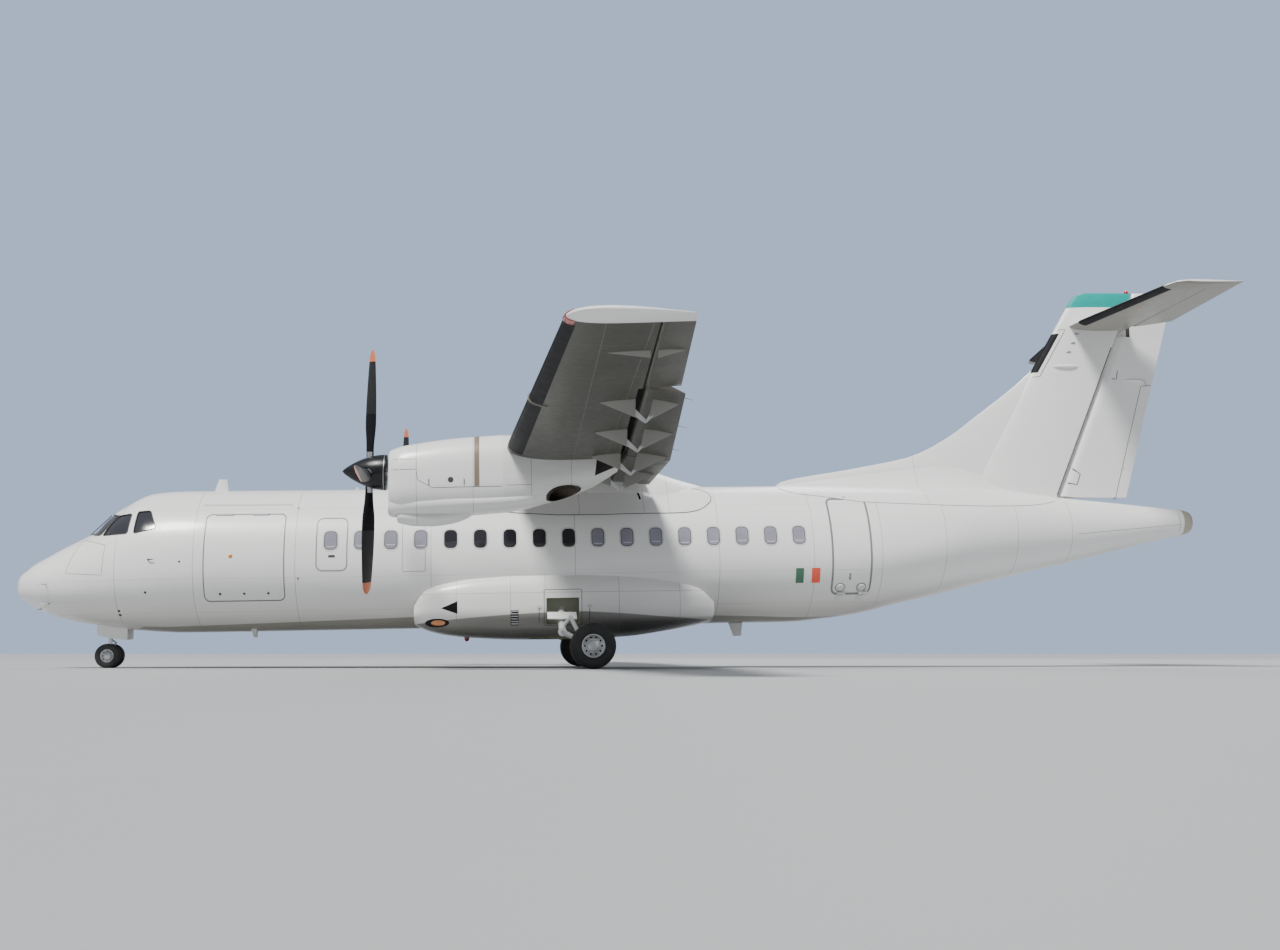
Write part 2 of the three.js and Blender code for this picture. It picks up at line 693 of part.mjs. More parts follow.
// Rudder's front edge and hinge line by height
const gapLine = (height) => RUDDER_GAP.station + RUDDER_GAP.slope * height;
const rudderHinge = (height) => point(gapLine(height) + RUDDER_HINGE_SETBACK, 0, height);

piece(airframe, 'fuselage_tail', body(FUSELAGE, TAIL_JOINT, CONE_JOINT - SEAT_GAP), 'white');
piece(airframe, 'tail_cone', cut(
  body(FUSELAGE, CONE_JOINT, 22640),
  pin(rudderHinge(RUDDER_PIN.high), rudderHinge(RUDDER_PIN.low), PIN.play),
), 'white');

// Fairings
function legPocket(side) {
  const { front, rear, reach, low, high } = LEG_BAY;
  return box(front, rear, ...spanwise(side, reach, 1700), low, high);
}

function wheelWell(side) {
  const { station, span, radius, ceiling } = WHEEL_WELL;
  return bar(point(station, side * span, ceiling), point(station, side * span, -1700), radius, 24);
}

// Place on the main strut's axis, by share of its length from the fairing to the knee
function strutPoint(side, share) {
  const span = side * mix(MAIN_ROOT.span, MAIN_KNEE.span, share);
  return groundPoint(MAIN_KNEE.station, span, mix(MAIN_ROOT.height, MAIN_KNEE.height, share));
}

// Strut and side brace, with room around them for the fairing's sockets
function legRoot(side, grow) {
  const ahead = grow / 1000;
  return join([
    bar(strutPoint(side, -ahead), strutPoint(side, 1), STRUT_RADIUS + grow, 12),
    bar(
      groundPoint(MAIN_KNEE.station, side * (SIDE_BRACE.span - 2 * grow), SIDE_BRACE.height),
      strutPoint(side, 0.62),
      SIDE_BRACE.radius + grow,
      8,
    ),
  ]);
}

const BELLY_PADS = { station: 11700, span: 700, height: -1355 };

piece(airframe, 'belly_fairing', cut(
  join([
    body(BELLY_FAIRING, 7280, 12760, { power: BELLY_POWER, segments: BELLY_SEGMENTS }),
    ...SIDES.map(({ side }) => jackPad(BELLY_PADS.station, side * BELLY_PADS.span, BELLY_PADS.height)),
  ]),
  body(FUSELAGE, 7000, 13000, { grow: SEAT_GAP }),
  ...SIDES.map(({ side }) => wheelWell(side)),
  ...SIDES.map(({ side }) => legPocket(side)),
  ...SIDES.map(({ side }) => toAirframe(legRoot(side, SEAT_GAP))),
), 'grey');
piece(airframe, 'wing_body_fairing', cut(
  body(WING_FAIRING, 7900, 12750, { segments: 24 }),
  body(FUSELAGE, 7000, 13000, { grow: SEAT_GAP }),
  wing([-1500, 1500], SEAT_GAP),
), 'white');

// Wing
function planBlock(corners, side) {
  return prism(planOutline(corners.map(([station, span]) => [station, side * span])), 'z', 500, 3000);
}

function inboardBay(side) {
  return box(COVE.inner, 12000, ...spanwise(side, WING_ROOT_FACE, WING_JOINT + 50), 500, 3000);
}

function outboardBay(side) {
  const inner = WING_JOINT - 10;
  const { outerSpan } = COVE;
  return planBlock([[COVE.inner, inner], [12000, inner], [12000, outerSpan], [COVE.outer, outerSpan]], side);
}

function aileronBay(side) {
  const { inner, outer, gap } = AILERON_NOSE;
  const face = [AILERON_HINGE.inner - inner - gap, AILERON_HINGE.outer - outer - gap];
  const [low, high] = [COVE.outerSpan - 1, AILERON.outer + AILERON.endGap];
  return planBlock([[face[0], low], [12000, low], [12000, high], [face[1], high]], side);
}

// Lowest line of the wing at a span and station
function wingBelly(span, station) {
  const [, leading, chord, ratio, height] = rowAt(WING, span);
  const x = (station - leading) / chord;
  const middle = height - x * chord * Math.tan(WING_INCIDENCE) + 4 * WING_CAMBER * chord * x * (1 - x);
  return middle - aerofoil(x) * ratio * chord - TRAILING_EDGE * x;
}

function flapHinge(span) {
  if (span < WING_JOINT) return FLAP_HINGE_IN;
  const share = (span - WING_JOINT) / (FLAP_HINGE_OUT.span - WING_JOINT);
  return {
    station: mix(FLAP_HINGE_IN.station, FLAP_HINGE_OUT.station, share),
    height: mix(FLAP_HINGE_IN.height, FLAP_HINGE_OUT.height, share),
  };
}

// Keel-shaped hinge fairing: a fore half on the wing and an aft half on the flap
function fairingHalf(span, halfWidth, tipStation, rootStation, keelStation, side) {
  const keel = flapHinge(span).height;
  const rows = [
    [tipStation, 6, wingBelly(span, tipStation) + 25, wingBelly(span, tipStation) - 6],
    [mix(tipStation, rootStation, 0.6), halfWidth * 0.85, 0, 0],
    [rootStation, halfWidth, 0, 0],
  ];
  const rings = rows.map(([station, half], index) => {
    const share = (station - tipStation) / (keelStation - tipStation);
    const belly = wingBelly(span, station);
    const low = index === 0 ? belly - 6 : mix(wingBelly(span, tipStation), keel, share);
    const high = belly + (index === 0 ? 10 : 30);
    return [
      point(station, side * (span - half), high),
      point(station, side * (span - half), Math.min(belly - 1, high)),
      point(station, side * span, low),
      point(station, side * (span + half), Math.min(belly - 1, high)),
      point(station, side * (span + half), high),
    ];
  });
  return loft(rings);
}

const FAIRING_SPLIT = 30; // the flap's half starts this far behind the hinge line

// Flap turned down to its parked angle about its hinge line
function lowered(flap, { inner, outer }, side) {
  const [root, tip] = [flapAxis(inner, side), flapAxis(outer, side)];
  const axis = tip.clone().sub(root).multiplyScalar(-side).normalize();
  const matrix = new THREE.Matrix4().makeTranslation(root.x, root.y, root.z);
  matrix.multiply(new THREE.Matrix4().makeRotationAxis(axis, FLAP_REST));
  matrix.multiply(new THREE.Matrix4().makeTranslation(-root.x, -root.y, -root.z));
  return moved(flap, matrix);
}

// Place on a flap's hinge line
function flapAxis(span, side) {
  const { station, height } = flapHinge(span);
  return point(station, side * span, height);
}

// Fairing half of the wing with the arm that holds the flap's pin
function foreFairing([span, halfWidth, tip], side) {
  const { station, height } = flapHinge(span);
  const { half, eye, root } = FLAP_ARM;
  const share = Math.max(0, (span - WING_JOINT) / (COVE.outerSpan - WING_JOINT));
  const cove = mix(COVE.inner, COVE.outer, share);
  const keel = mix(wingBelly(span, tip), height, (cove - tip) / (station - tip));
  const arm = prism(sideOutline([
    [cove - root, keel + root], [station - 8, height - eye + 2],
    [station + 8, height + eye - 2], [cove - root, keel + 4 * root],
  ]), 'y', side * span - half, side * span + half);
  return cut(
    join([
      fairingHalf(span, halfWidth, tip, cove, station, side),
      arm,
      bar(flapAxis(span - half, side), flapAxis(span + half, side), eye, PIN.segments),
    ]),
    pin(flapAxis(span - 2 * half, side), flapAxis(span + 2 * half, side), PIN.play),
  );
}

// Fairing half of the flap with its hinge fork and pin
function aftFairing([span, halfWidth], side) {
  const { station, height } = flapHinge(span);
  const { cheekInner, cheekOuter } = FLAP_ARM;
  const [, leading, chord] = rowAt(WING, span);
  const outline = sideOutline(FLAP_CHEEK.map(([aft, up]) => [station + aft, height + up]));
  return join([
    fairingHalf(span, halfWidth, leading + chord - 60, station + FAIRING_SPLIT, station, side),
    prism(outline, 'y', side * span + cheekInner, side * span + cheekOuter),
    prism(outline, 'y', side * span - cheekOuter, side * span - cheekInner),
    pin(flapAxis(span - cheekOuter, side), flapAxis(span + cheekOuter, side)),
  ]);
}

piece(airframe, 'wing_centre', join([
  cut(
    wing([-WING_JOINT, WING_JOINT]),
    body(FUSELAGE, 7000, 13000, { grow: SEAT_GAP }),
    ...SIDES.map(({ side }) => inboardBay(side)),
  ),
  ...SIDES.map(({ side }) => foreFairing(FLAP_FAIRINGS[0], side)),
]), 'grey');

function outerWing(side) {
  const spans = [WING_JOINT + SEAT_GAP, 11900, 12180, 12285].map((span) => side * span);
  return wing(spans);
}

// Place on an aileron's hinge line
function aileronAxis(side, span) {
  const share = (span - AILERON.inner) / (AILERON.outer - AILERON.inner);
  return point(
    mix(AILERON_HINGE.inner, AILERON_HINGE.outer, share),
    side * span,
    mix(AILERON_HINGE.innerHeight, AILERON_HINGE.outerHeight, share),
  );
}

for (const { side, name } of SIDES) {
  const aileronPin = [
    aileronAxis(side, AILERON.outer - PIN_REACH),
    aileronAxis(side, AILERON.outer + AILERON.endGap + PIN_REACH),
  ];
  piece(airframe, `wing_outer_${name}`, join([
    cut(outerWing(side), outboardBay(side), aileronBay(side), pin(...aileronPin, PIN.play)),
    ...FLAP_FAIRINGS.slice(1).map((row) => foreFairing(row, side)),
  ]), 'grey');

  const inboardZone = box(
    COVE.inner + FLAP_GAP, 12000, ...spanwise(side, INBOARD_FLAP.inner, INBOARD_FLAP.outer), 500, 3000,
  );
  piece(airframe, `flap_inboard_${name}`, lowered(join([
    wing([-WING_JOINT, WING_JOINT]).intersect(inboardZone),
    aftFairing(FLAP_FAIRINGS[0], side),
  ]), INBOARD_FLAP, side), 'grey');

  const [inner, outer] = [OUTBOARD_FLAP.inner, OUTBOARD_FLAP.outer];
  const outboardZone = planBlock([
    [COVE.inner + FLAP_GAP, inner], [12000, inner], [12000, outer], [COVE.outer + FLAP_GAP, outer],
  ], side);
  piece(airframe, `flap_outboard_${name}`, lowered(join([
    outerWing(side).intersect(outboardZone),
    ...FLAP_FAIRINGS.slice(1).map((row) => aftFairing(row, side)),
  ]), OUTBOARD_FLAP, side), 'grey');

  const aileronZone = planBlock([
    [AILERON_HINGE.inner, AILERON.inner], [12000, AILERON.inner],
    [12000, AILERON.outer], [AILERON_HINGE.outer, AILERON.outer],
  ], side);
  const noseRun = [aileronAxis(side, AILERON.inner), aileronAxis(side, AILERON.outer)];
  piece(airframe, `aileron_${name}`, join([
    outerWing(side).intersect(aileronZone),
    bar(...noseRun, AILERON_NOSE.inner, 14, AILERON_NOSE.outer),
    pin(...aileronPin),
  ]), 'grey');
}

// Nacelle, engine and propeller
const thrustAxis = new THREE.Vector3(Math.cos(THRUST_INCIDENCE), 0, Math.sin(THRUST_INCIDENCE));

function thrustPoint(side, ahead) {
  return point(THRUST_LINE.station, side * NACELLE_SPAN, THRUST_LINE.height).addScaledVector(thrustAxis, ahead);
}

function nacelleBody(side, low, high, grow) {
  return body(NACELLE, low, high, { grow, power: NACELLE_POWER, span: side * NACELLE_SPAN, segments: 20 });
}

// Place on the exhaust's axis, by share of its length
function exhaustAlong(share, side) {
  const [station, span, height] = EXHAUST.start.map((value, k) => mix(value, EXHAUST.end[k], share));
  return point(station, side * (NACELLE_SPAN + span), height);
}

function exhaustBar(side, radius, from) {
  return bar(exhaustAlong(from, side), exhaustAlong(1, side), radius, 20);
}

const ENGINE = { front: 7420, radius: 330, gearbox: 250, snout: 170, nose: 7150, shaft: 70, height: 1150 };

for (const { side, name } of SIDES) {
  const { reach, low, high } = INTAKE;
  const intake = box(
    7000, 7200, side * NACELLE_SPAN - reach, side * NACELLE_SPAN + reach, low, high,
  );
  piece(airframe, `cowling_${name}`, cut(
    nacelleBody(side, 7070, FIREWALL - SEAT_GAP, 0),
    nacelleBody(side, COWL_FRONT, FIREWALL, -COWL_THICKNESS),
    intake,
    bar(thrustPoint(side, -900), thrustPoint(side, 0), SHAFT_HOLE, 16),
  ), 'white');
  piece(airframe, `nacelle_${name}`, cut(
    nacelleBody(side, FIREWALL, 10770, 0),
    wing([-WING_JOINT, WING_JOINT], SEAT_GAP),
    wing([side * WING_JOINT, side * 6000], SEAT_GAP),
    exhaustBar(side, EXHAUST.radius + SEAT_GAP, -0.001),
  ), 'white');
  piece(airframe, `exhaust_${name}`, cut(
    exhaustBar(side, EXHAUST.radius, 0),
    exhaustBar(side, EXHAUST.radius - EXHAUST.wall, EXHAUST.bore),
  ).intersect(nacelleBody(side, 9000, 10760, 30)), 'burnt');

  const rim = SPINNER_TIP - SPINNER_LENGTH;
  const engineLine = (station) => point(station, side * NACELLE_SPAN, ENGINE.height);
  const shaftStart = thrustPoint(side, THRUST_LINE.station - ENGINE.nose - 40);
  piece(airframe, `engine_${name}`, join([
    bar(engineLine(FIREWALL - SEAT_GAP), engineLine(ENGINE.front), ENGINE.radius, 16),
    bar(
      engineLine(ENGINE.front + 50), thrustPoint(side, THRUST_LINE.station - ENGINE.nose),
      ENGINE.gearbox, 16, ENGINE.snout,
    ),
    bar(shaftStart, thrustPoint(side, rim - BACKPLATE - SEAT_GAP), ENGINE.shaft, 12),
  ]), 'steel');

  const ogive = (grow, steps) => Array.from({ length: steps + 1 }, (_, k) => {
    const share = k / steps;
    const radius = (SPINNER_RADIUS - grow) * Math.sin((share * Math.PI) / 2) ** 0.8;
    return [radius, SPINNER_TIP - grow - share * (SPINNER_LENGTH - grow)];
  });
  const outside = ogive(0, 5);
  const inside = ogive(SPINNER_WALL, 3).reverse();
  const centre = thrustPoint(side, 0);
  const bladeLine = (k) => {
    const angle = BLADE_REST_ANGLE + (2 * Math.PI * k) / BLADE_COUNT;
    const up = new THREE.Vector3(0, 0, 1).applyAxisAngle(new THREE.Vector3(0, 1, 0), -THRUST_INCIDENCE);
    return up.applyAxisAngle(thrustAxis, angle);
  };
  const turns = Array.from({ length: BLADE_COUNT }, (_, k) => bladeLine(k));
  const roots = turns.map((line) => bar(
    centre.clone().addScaledVector(line, 150),
    centre.clone().addScaledVector(line, 400),
    BLADE_ROOT_RADIUS + 24,
    8,
  ));
  piece(airframe, `spinner_${name}`, cut(
    turned([...outside, ...inside], centre, thrustAxis, 16),
    ...roots,
  ), 'black');

  const blade = (line) => {
    const tangent = new THREE.Vector3().crossVectors(thrustAxis, line);
    return loft(BLADE.map(([radius, chord, thickness, degrees]) => {
      const pitch = THREE.MathUtils.degToRad(degrees);
      const along = tangent.clone()
        .multiplyScalar(Math.cos(pitch))
        .addScaledVector(thrustAxis, Math.sin(pitch));
      const across = new THREE.Vector3().crossVectors(line, along);
      return Array.from({ length: 6 }, (_, k) => {
        const angle = (2 * Math.PI * k) / 6;
        return centre.clone()
          .addScaledVector(line, radius)
          .addScaledVector(along, (Math.cos(angle) * chord) / 2)
          .addScaledVector(across, (Math.sin(angle) * thickness) / 2);
      });
    }));
  };
  piece(airframe, `propeller_${name}`, join([
    bar(thrustPoint(side, rim - 8), thrustPoint(side, 140), 140, 14),
    bar(thrustPoint(side, rim - BACKPLATE), thrustPoint(side, rim - SEAT_GAP), SPINNER_RADIUS - 3, 16),
    ...turns.map((line) => bar(
      centre.clone(), centre.clone().addScaledVector(line, 330), BLADE_ROOT_RADIUS, 8,
    )),
    ...turns.map(blade),
  ]), 'black');
}

// Fin, rudder, tailplane and elevators
function dorsal() {
  return loft(DORSAL.map(([height, leading, trailing, half]) => {
    const reach = trailing - leading;
    const sides = [[0.12, 0.3], [0.45, 0.72], [1, 1]];
    const port = sides.map(([x, width]) => point(leading + x * reach, width * half, height));
    const starboard = sides.map(([x, width]) => point(leading + x * reach, -width * half, height)).reverse();
    return [point(leading, 0, height), ...port, ...starboard];
  }));
}

function tailplane(grow = 0) {
  const mirrored = TAILPLANE.slice(1).reverse().map(([span, ...rest]) => [-span, ...rest]);
  return surface([...mirrored, ...TAILPLANE], grow, levelPoint);
}

function finWhole() {
  return surface(FIN, 0, uprightPoint);
}

function rudderZone() {
  const { low, high, station } = RUDDER_NOTCH;
  const outline = [
    [gapLine(RUDDER_FOOT.front), RUDDER_FOOT.front],
    [gapLine(low), low],
    [station, low],
    [station, high],
    [gapLine(high), high],
    [gapLine(5400), 5400],
    [23000, 5400],
    [23000, RUDDER_FOOT.rear - 200],
    [21400, RUDDER_FOOT.rear],
  ];
  return prism(sideOutline(outline), 'y', -600, 600);
}

const finBody = cut(
  join([finWhole(), dorsal()]),
  prism(sideOutline([
    [gapLine(500) - RUDDER_GAP.width, 500], [gapLine(5500) - RUDDER_GAP.width, 5500],
    [23500, 5500], [23500, 500],
  ]), 'y', -600, 600),
  body(FUSELAGE, 13500, 22640, { grow: SEAT_GAP }),
  tailplane(SEAT_GAP),
);
const tipBlock = (grow) => box(19000, 23500, -600, 600, FIN_TIP_HEIGHT - grow, 5600);
piece(airframe, 'fin', cut(finBody, tipBlock(SEAT_GAP), box(13000, 23500, -900, 900, 0, 1000)), 'white');
piece(airframe, 'fin_tip', finBody.intersect(tipBlock(0)), 'teal');

// Rudder with its front corners rounded about the hinge line
const behindHinge = prism(sideOutline([
  [gapLine(500) + RUDDER_HINGE_SETBACK, 500], [gapLine(6000) + RUDDER_HINGE_SETBACK, 6000],
  [23500, 6000], [23500, 500],
]), 'y', -600, 600);
const rudderBody = finWhole().intersect(rudderZone()).intersect(join([
  bar(rudderHinge(500), rudderHinge(6000), RUDDER_NOSE_RADIUS, 20),
  behindHinge,
]));
piece(airframe, 'rudder', join([
  rudderBody,
  pin(rudderHinge(RUDDER_PIN.high), rudderHinge(RUDDER_PIN.low)),
]), 'white');

function elevatorZone(side, grow) {
  const { inner, innerRear, outer, hingeIn, hingeOut } = ELEVATOR;
  const [noseIn, noseOut] = grow > 0 ? [ELEVATOR_NOSE.inner, ELEVATOR_NOSE.outer] : [0, 0];
  return prism(planOutline([
    [hingeIn - noseIn - grow, side * (inner - grow)],
    [22400, side * (innerRear - grow)],
    [22400, side * (outer + grow)],
    [hingeOut - noseOut - grow, side * (outer + grow)],
  ]), 'z', 4300, 5000);
}

function rootCutout() {
  const face = ELEVATOR.hingeIn - ELEVATOR_NOSE.inner - ELEVATOR.gap;
  return prism(planOutline([[face, -420], [23000, -900], [23000, 900], [face, 420]]), 'z', 4300, 5000);
}

// Place on an elevator's hinge line
function elevatorAxis(side, span) {
  const { inner, outer, hingeIn, hingeOut } = ELEVATOR;
  const share = (span - inner) / (outer - inner);
  return point(mix(hingeIn, hingeOut, share), side * span, TAILPLANE_HEIGHT);
}

const elevatorPin = (side) => [
  elevatorAxis(side, ELEVATOR.outer - PIN_REACH),
  elevatorAxis(side, ELEVATOR.outer + ELEVATOR.gap + PIN_REACH),
];

piece(airframe, 'tailplane', cut(
  tailplane(),
  ...SIDES.map(({ side }) => pin(...elevatorPin(side), PIN.play)),
  ...SIDES.map(({ side }) => elevatorZone(side, ELEVATOR.gap)),
  rootCutout(),
), 'white');
for (const { side, name } of SIDES) {
  const hinge = [elevatorAxis(side, ELEVATOR.inner), elevatorAxis(side, ELEVATOR.outer)];
  piece(airframe, `elevator_${name}`, join([
    tailplane().intersect(elevatorZone(side, 0)),
    bar(...hinge, ELEVATOR_NOSE.inner, 14, ELEVATOR_NOSE.outer),
    pin(...elevatorPin(side)),
  ]), 'grey');
}

// Landing gear
const sideways = new THREE.Vector3(0, 1, 0);

// Tyre about its own middle, by radius and place along the axle
function tyre({ radius, width, bore }, centre) {
  const half = width / 2;
  const outline = [
    [bore + SEAT_GAP, -half * 0.72], [mix(bore, radius, 0.6), -half], [radius, -half * 0.6],
    [radius, half * 0.6], [mix(bore, radius, 0.6), half], [bore + SEAT_GAP, half * 0.72],
  ];
  return turned(outline, centre, sideways, TYRE_SEGMENTS);
}

// Two wheel rims on one axle, by radius and place along the axle
function wheelPair({ width, bore, spacing }, axle, centre) {
  const rim = width * 0.36;
  const inner = spacing - rim;
  const outer = spacing + rim;
  const half = [
    [axle, inner + 30], [bore, inner], [bore, outer], [bore * 0.55, outer - 45],
  ];
  const port = [...half, [0, outer - 30]];
  const starboard = port.map(([radius, along]) => [radius, -along]).reverse();
  return turned([...starboard, ...port], centre, sideways, TYRE_SEGMENTS);
}

const axleHeight = (radius) => radius * Math.cos(Math.PI / TYRE_SEGMENTS);
const noseAxle = groundPoint(NOSE_WHEEL.station, 0, axleHeight(NOSE_WHEEL.radius));
const shifted = (place, x, y, z) => new THREE.Vector3(place.x + x, place.y + y, place.z + z);

for (const { side, name } of SIDES) {
  const centre = shifted(noseAxle, 0, side * NOSE_WHEEL.spacing, 0);
  piece(plane, `nose_tyre_${name}`, tyre(NOSE_WHEEL, centre), 'rubber');
}
piece(plane, 'nose_wheel_rims', wheelPair(NOSE_WHEEL, NOSE_AXLE_RADIUS, noseAxle), 'gear');

const noseFoot = shifted(noseAxle, 0, 0, NOSE_LEG.foot - noseAxle.z);
piece(plane, 'nose_fork', cut(
  join([
    bar(shifted(noseFoot, 0, 0, -0.5), shifted(noseAxle, 0, 0, 20), NOSE_LEG.piston),
    bar(shifted(noseAxle, 0, -38, 0), shifted(noseAxle, 0, 38, 0), 50, 20),
    bar(shifted(noseFoot, 0, 0, -70), shifted(noseFoot, -96, 0, -150), 20, 10),
    bar(shifted(noseFoot, -96, 0, -150), shifted(noseAxle, -20, 0, 20), 20, 10),
  ]),
  bar(shifted(noseAxle, 0, -60, 0), shifted(noseAxle, 0, 60, 0), NOSE_AXLE_RADIUS + AXLE_PLAY, TYRE_SEGMENTS),
), 'gear');

const noseTop = shifted(noseAxle, 0, 0, NOSE_LEG.top - noseAxle.z);
const braceFoot = shifted(noseFoot, 0, 0, 140);
const braceTop = groundPoint(NOSE_BAY.rear - 30, 0, 1140);
piece(plane, 'nose_leg', join([
  bar(noseFoot, noseTop, NOSE_LEG.radius),
  bar(noseFoot, shifted(noseFoot, 0, 0, 90), 74, 16),
  bar(braceFoot, braceTop, 26, 10),
]), 'gear');

// Nose-gear doors, hanging open beside the leg
for (const { side, name } of SIDES) {
  const { front, rear, reach } = NOSE_BAY;
  const hinge = (station) => {
    const [, halfWidth, , widest, bottom] = rowAt(FUSELAGE, station);
    return widest - (widest - bottom) * Math.sqrt(1 - (reach / halfWidth) ** 2);
  };
  const outline = [
    [front + 12, hinge(front + 12) + 12], [rear - 12, hinge(rear - 12) + 12],
    [rear - 12, hinge(rear - 12) - NOSE_DOOR.drop], [front + 12, hinge(front + 12) - NOSE_DOOR.drop],
  ];
  const spans = spanwise(side, reach - NOSE_DOOR.thickness - SEAT_GAP, reach - SEAT_GAP);
  piece(airframe, `nose_gear_door_${name}`, prism(sideOutline(outline), 'y', ...spans), 'white');
}

// Main gear: a strut out of the belly fairing, a trailing arm and its shock absorber
for (const { side, name } of SIDES) {
  const axle = groundPoint(MAIN_WHEEL.station, side * MAIN_WHEEL.span, axleHeight(MAIN_WHEEL.radius));
  for (const [wheel, place] of [['inner', -side], ['outer', side]]) {
    const centre = shifted(axle, 0, place * MAIN_WHEEL.spacing, 0);
    piece(plane, `main_tyre_${name}_${wheel}`, tyre(MAIN_WHEEL, centre), 'rubber');
  }
  piece(plane, `main_wheel_rims_${name}`, wheelPair(MAIN_WHEEL, MAIN_AXLE_RADIUS, axle), 'gear');

  const knee = strutPoint(side, 1);
  const shockFoot = shifted(axle, 170, 0, 72);
  const shockTop = groundPoint(SHOCK_TOP.station, side * MAIN_KNEE.span, SHOCK_TOP.height);
  piece(plane, `main_leg_${name}`, cut(
    join([
      legRoot(side, 0),
      bar(shifted(knee, 0, -52, 0), shifted(knee, 0, 52, 0), 78, 12),
      bar(knee, axle, 46, 10),
      bar(shifted(axle, 0, -50, 0), shifted(axle, 0, 50, 0), 84, 16),
      bar(shockFoot, shockTop, 38, 10),
      bar(strutPoint(side, 0.82), shockTop, 34, 8),
    ]),
    bar(shifted(axle, 0, -90, 0), shifted(axle, 0, 90, 0), MAIN_AXLE_RADIUS + AXLE_PLAY, TYRE_SEGMENTS),
  ), 'gear');
}

// Main-gear leg doors, carried over the struts
const strutRun = new THREE.Vector2(
  MAIN_KNEE.span - MAIN_ROOT.span,
  MAIN_KNEE.height - MAIN_ROOT.height,
).normalize();

for (const { side, name } of SIDES) {
  const { front, rear, from, to, offset, thickness } = MAIN_DOOR;
  const over = (share, lift, station) => {
    const place = strutPoint(side, share);
    const base = groundPoint(station, place.y, place.z);
    return shifted(base, 0, side * -strutRun.y * lift, strutRun.x * lift);
  };
  const edge = (station) => [
    over(from, offset, station), over(to, offset, station),
    over(to, offset + thickness, station), over(from, offset + thickness, station),
  ];
  const lugs = [mix(from, to, 0.25), mix(from, to, 0.75)].map((share) => bar(
    over(share, STRUT_RADIUS + SEAT_GAP, MAIN_KNEE.station),
    over(share, offset + 4, MAIN_KNEE.station),
    22,
    10,
  ));
  piece(plane, `main_gear_door_${name}`, join([loft([edge(front), edge(rear)]), ...lugs]), 'white');
}

export default plane;
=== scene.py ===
"""Looks of a twin-turboprop regional airliner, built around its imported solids.

Airframe places are (station, span, height) in metres: stations run aft from the nose tip, heights are above
the cabin's widest line, and port is positive. place() turns them into the row frame.
"""
import math
import bmesh
import bpy
import numpy as np
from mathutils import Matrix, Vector


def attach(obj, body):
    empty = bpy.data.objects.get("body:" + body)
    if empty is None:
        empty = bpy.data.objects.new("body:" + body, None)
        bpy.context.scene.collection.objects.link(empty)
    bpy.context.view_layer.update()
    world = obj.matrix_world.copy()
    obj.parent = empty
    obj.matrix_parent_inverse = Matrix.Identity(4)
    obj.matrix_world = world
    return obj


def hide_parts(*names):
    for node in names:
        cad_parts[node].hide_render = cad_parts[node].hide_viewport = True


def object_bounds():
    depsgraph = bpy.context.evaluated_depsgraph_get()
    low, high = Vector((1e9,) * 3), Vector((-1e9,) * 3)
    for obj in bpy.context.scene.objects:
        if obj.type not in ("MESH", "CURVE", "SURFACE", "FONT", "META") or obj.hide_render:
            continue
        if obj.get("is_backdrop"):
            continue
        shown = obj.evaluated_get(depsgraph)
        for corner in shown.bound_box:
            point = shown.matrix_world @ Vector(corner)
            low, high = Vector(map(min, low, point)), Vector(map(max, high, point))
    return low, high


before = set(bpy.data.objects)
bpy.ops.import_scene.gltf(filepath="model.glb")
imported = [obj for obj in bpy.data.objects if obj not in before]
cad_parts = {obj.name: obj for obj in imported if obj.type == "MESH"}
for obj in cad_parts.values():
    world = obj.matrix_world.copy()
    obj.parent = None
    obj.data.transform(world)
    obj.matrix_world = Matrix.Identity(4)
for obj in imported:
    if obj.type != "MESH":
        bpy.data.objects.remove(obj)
cad_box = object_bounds()

REFERENCE = 11.3173  # station over the row frame's origin
LIFT = 2.009  # height of the cabin's widest line there
PITCH = math.radians(1.127)  # lean of the parked aircraft, nose down
CP, SP = math.cos(PITCH), math.sin(PITCH)
SIDES = ((1, "left"), (-1, "right"))
AROUND = 128  # points round a hull's section
ENGINE_SPAN = 4.05
TAIL_HEIGHT = 4.64  # plane of the tailplane

# station, half width, top, widest, bottom
FUSELAGE = np.array([
    (0, .03, -.27, -.3, -.33), (.03, .12, -.158, -.298, -.463), (.1, .28, -.071, -.292, -.543),
    (.2, .413, -.002, -.284, -.602), (.35, .557, .112, -.272, -.7), (.6, .74, .247, -.252, -.807),
    (.9, .897, .412, -.228, -.917), (1.2, 1.03, .559, -.196, -.987), (1.5, 1.15, .729, -.16, -1.038),
    (1.7, 1.206, .965, -.136, -1.084), (2.1, 1.306, 1.234, -.092, -1.134),
    (2.3, 1.338, 1.34, -.076, -1.15), (2.5, 1.37, 1.395, -.06, -1.168), (3, 1.415, 1.43, -.02, -1.195),
    (3.6, 1.4325, 1.4325, 0, -1.2), (14.3, 1.4325, 1.4325, 0, -1.2), (15, 1.4325, 1.432, .01, -1.15),
    (15.7, 1.415, 1.43, .04, -1.065), (16.5, 1.345, 1.425, .13, -.887), (17.2, 1.25, 1.405, .24, -.745),
    (18, 1.09, 1.36, .38, -.562), (19, .87, 1.27, .46, -.348), (20.05, .65, 1.15, .51, -.125),
    (21, .48, 1.05, .567, .085), (22, .31, .94, .623, .307), (22.45, .24, .887, .64, .395),
    (22.6, .19, .83, .64, .45), (22.64, .09, .74, .64, .54)])
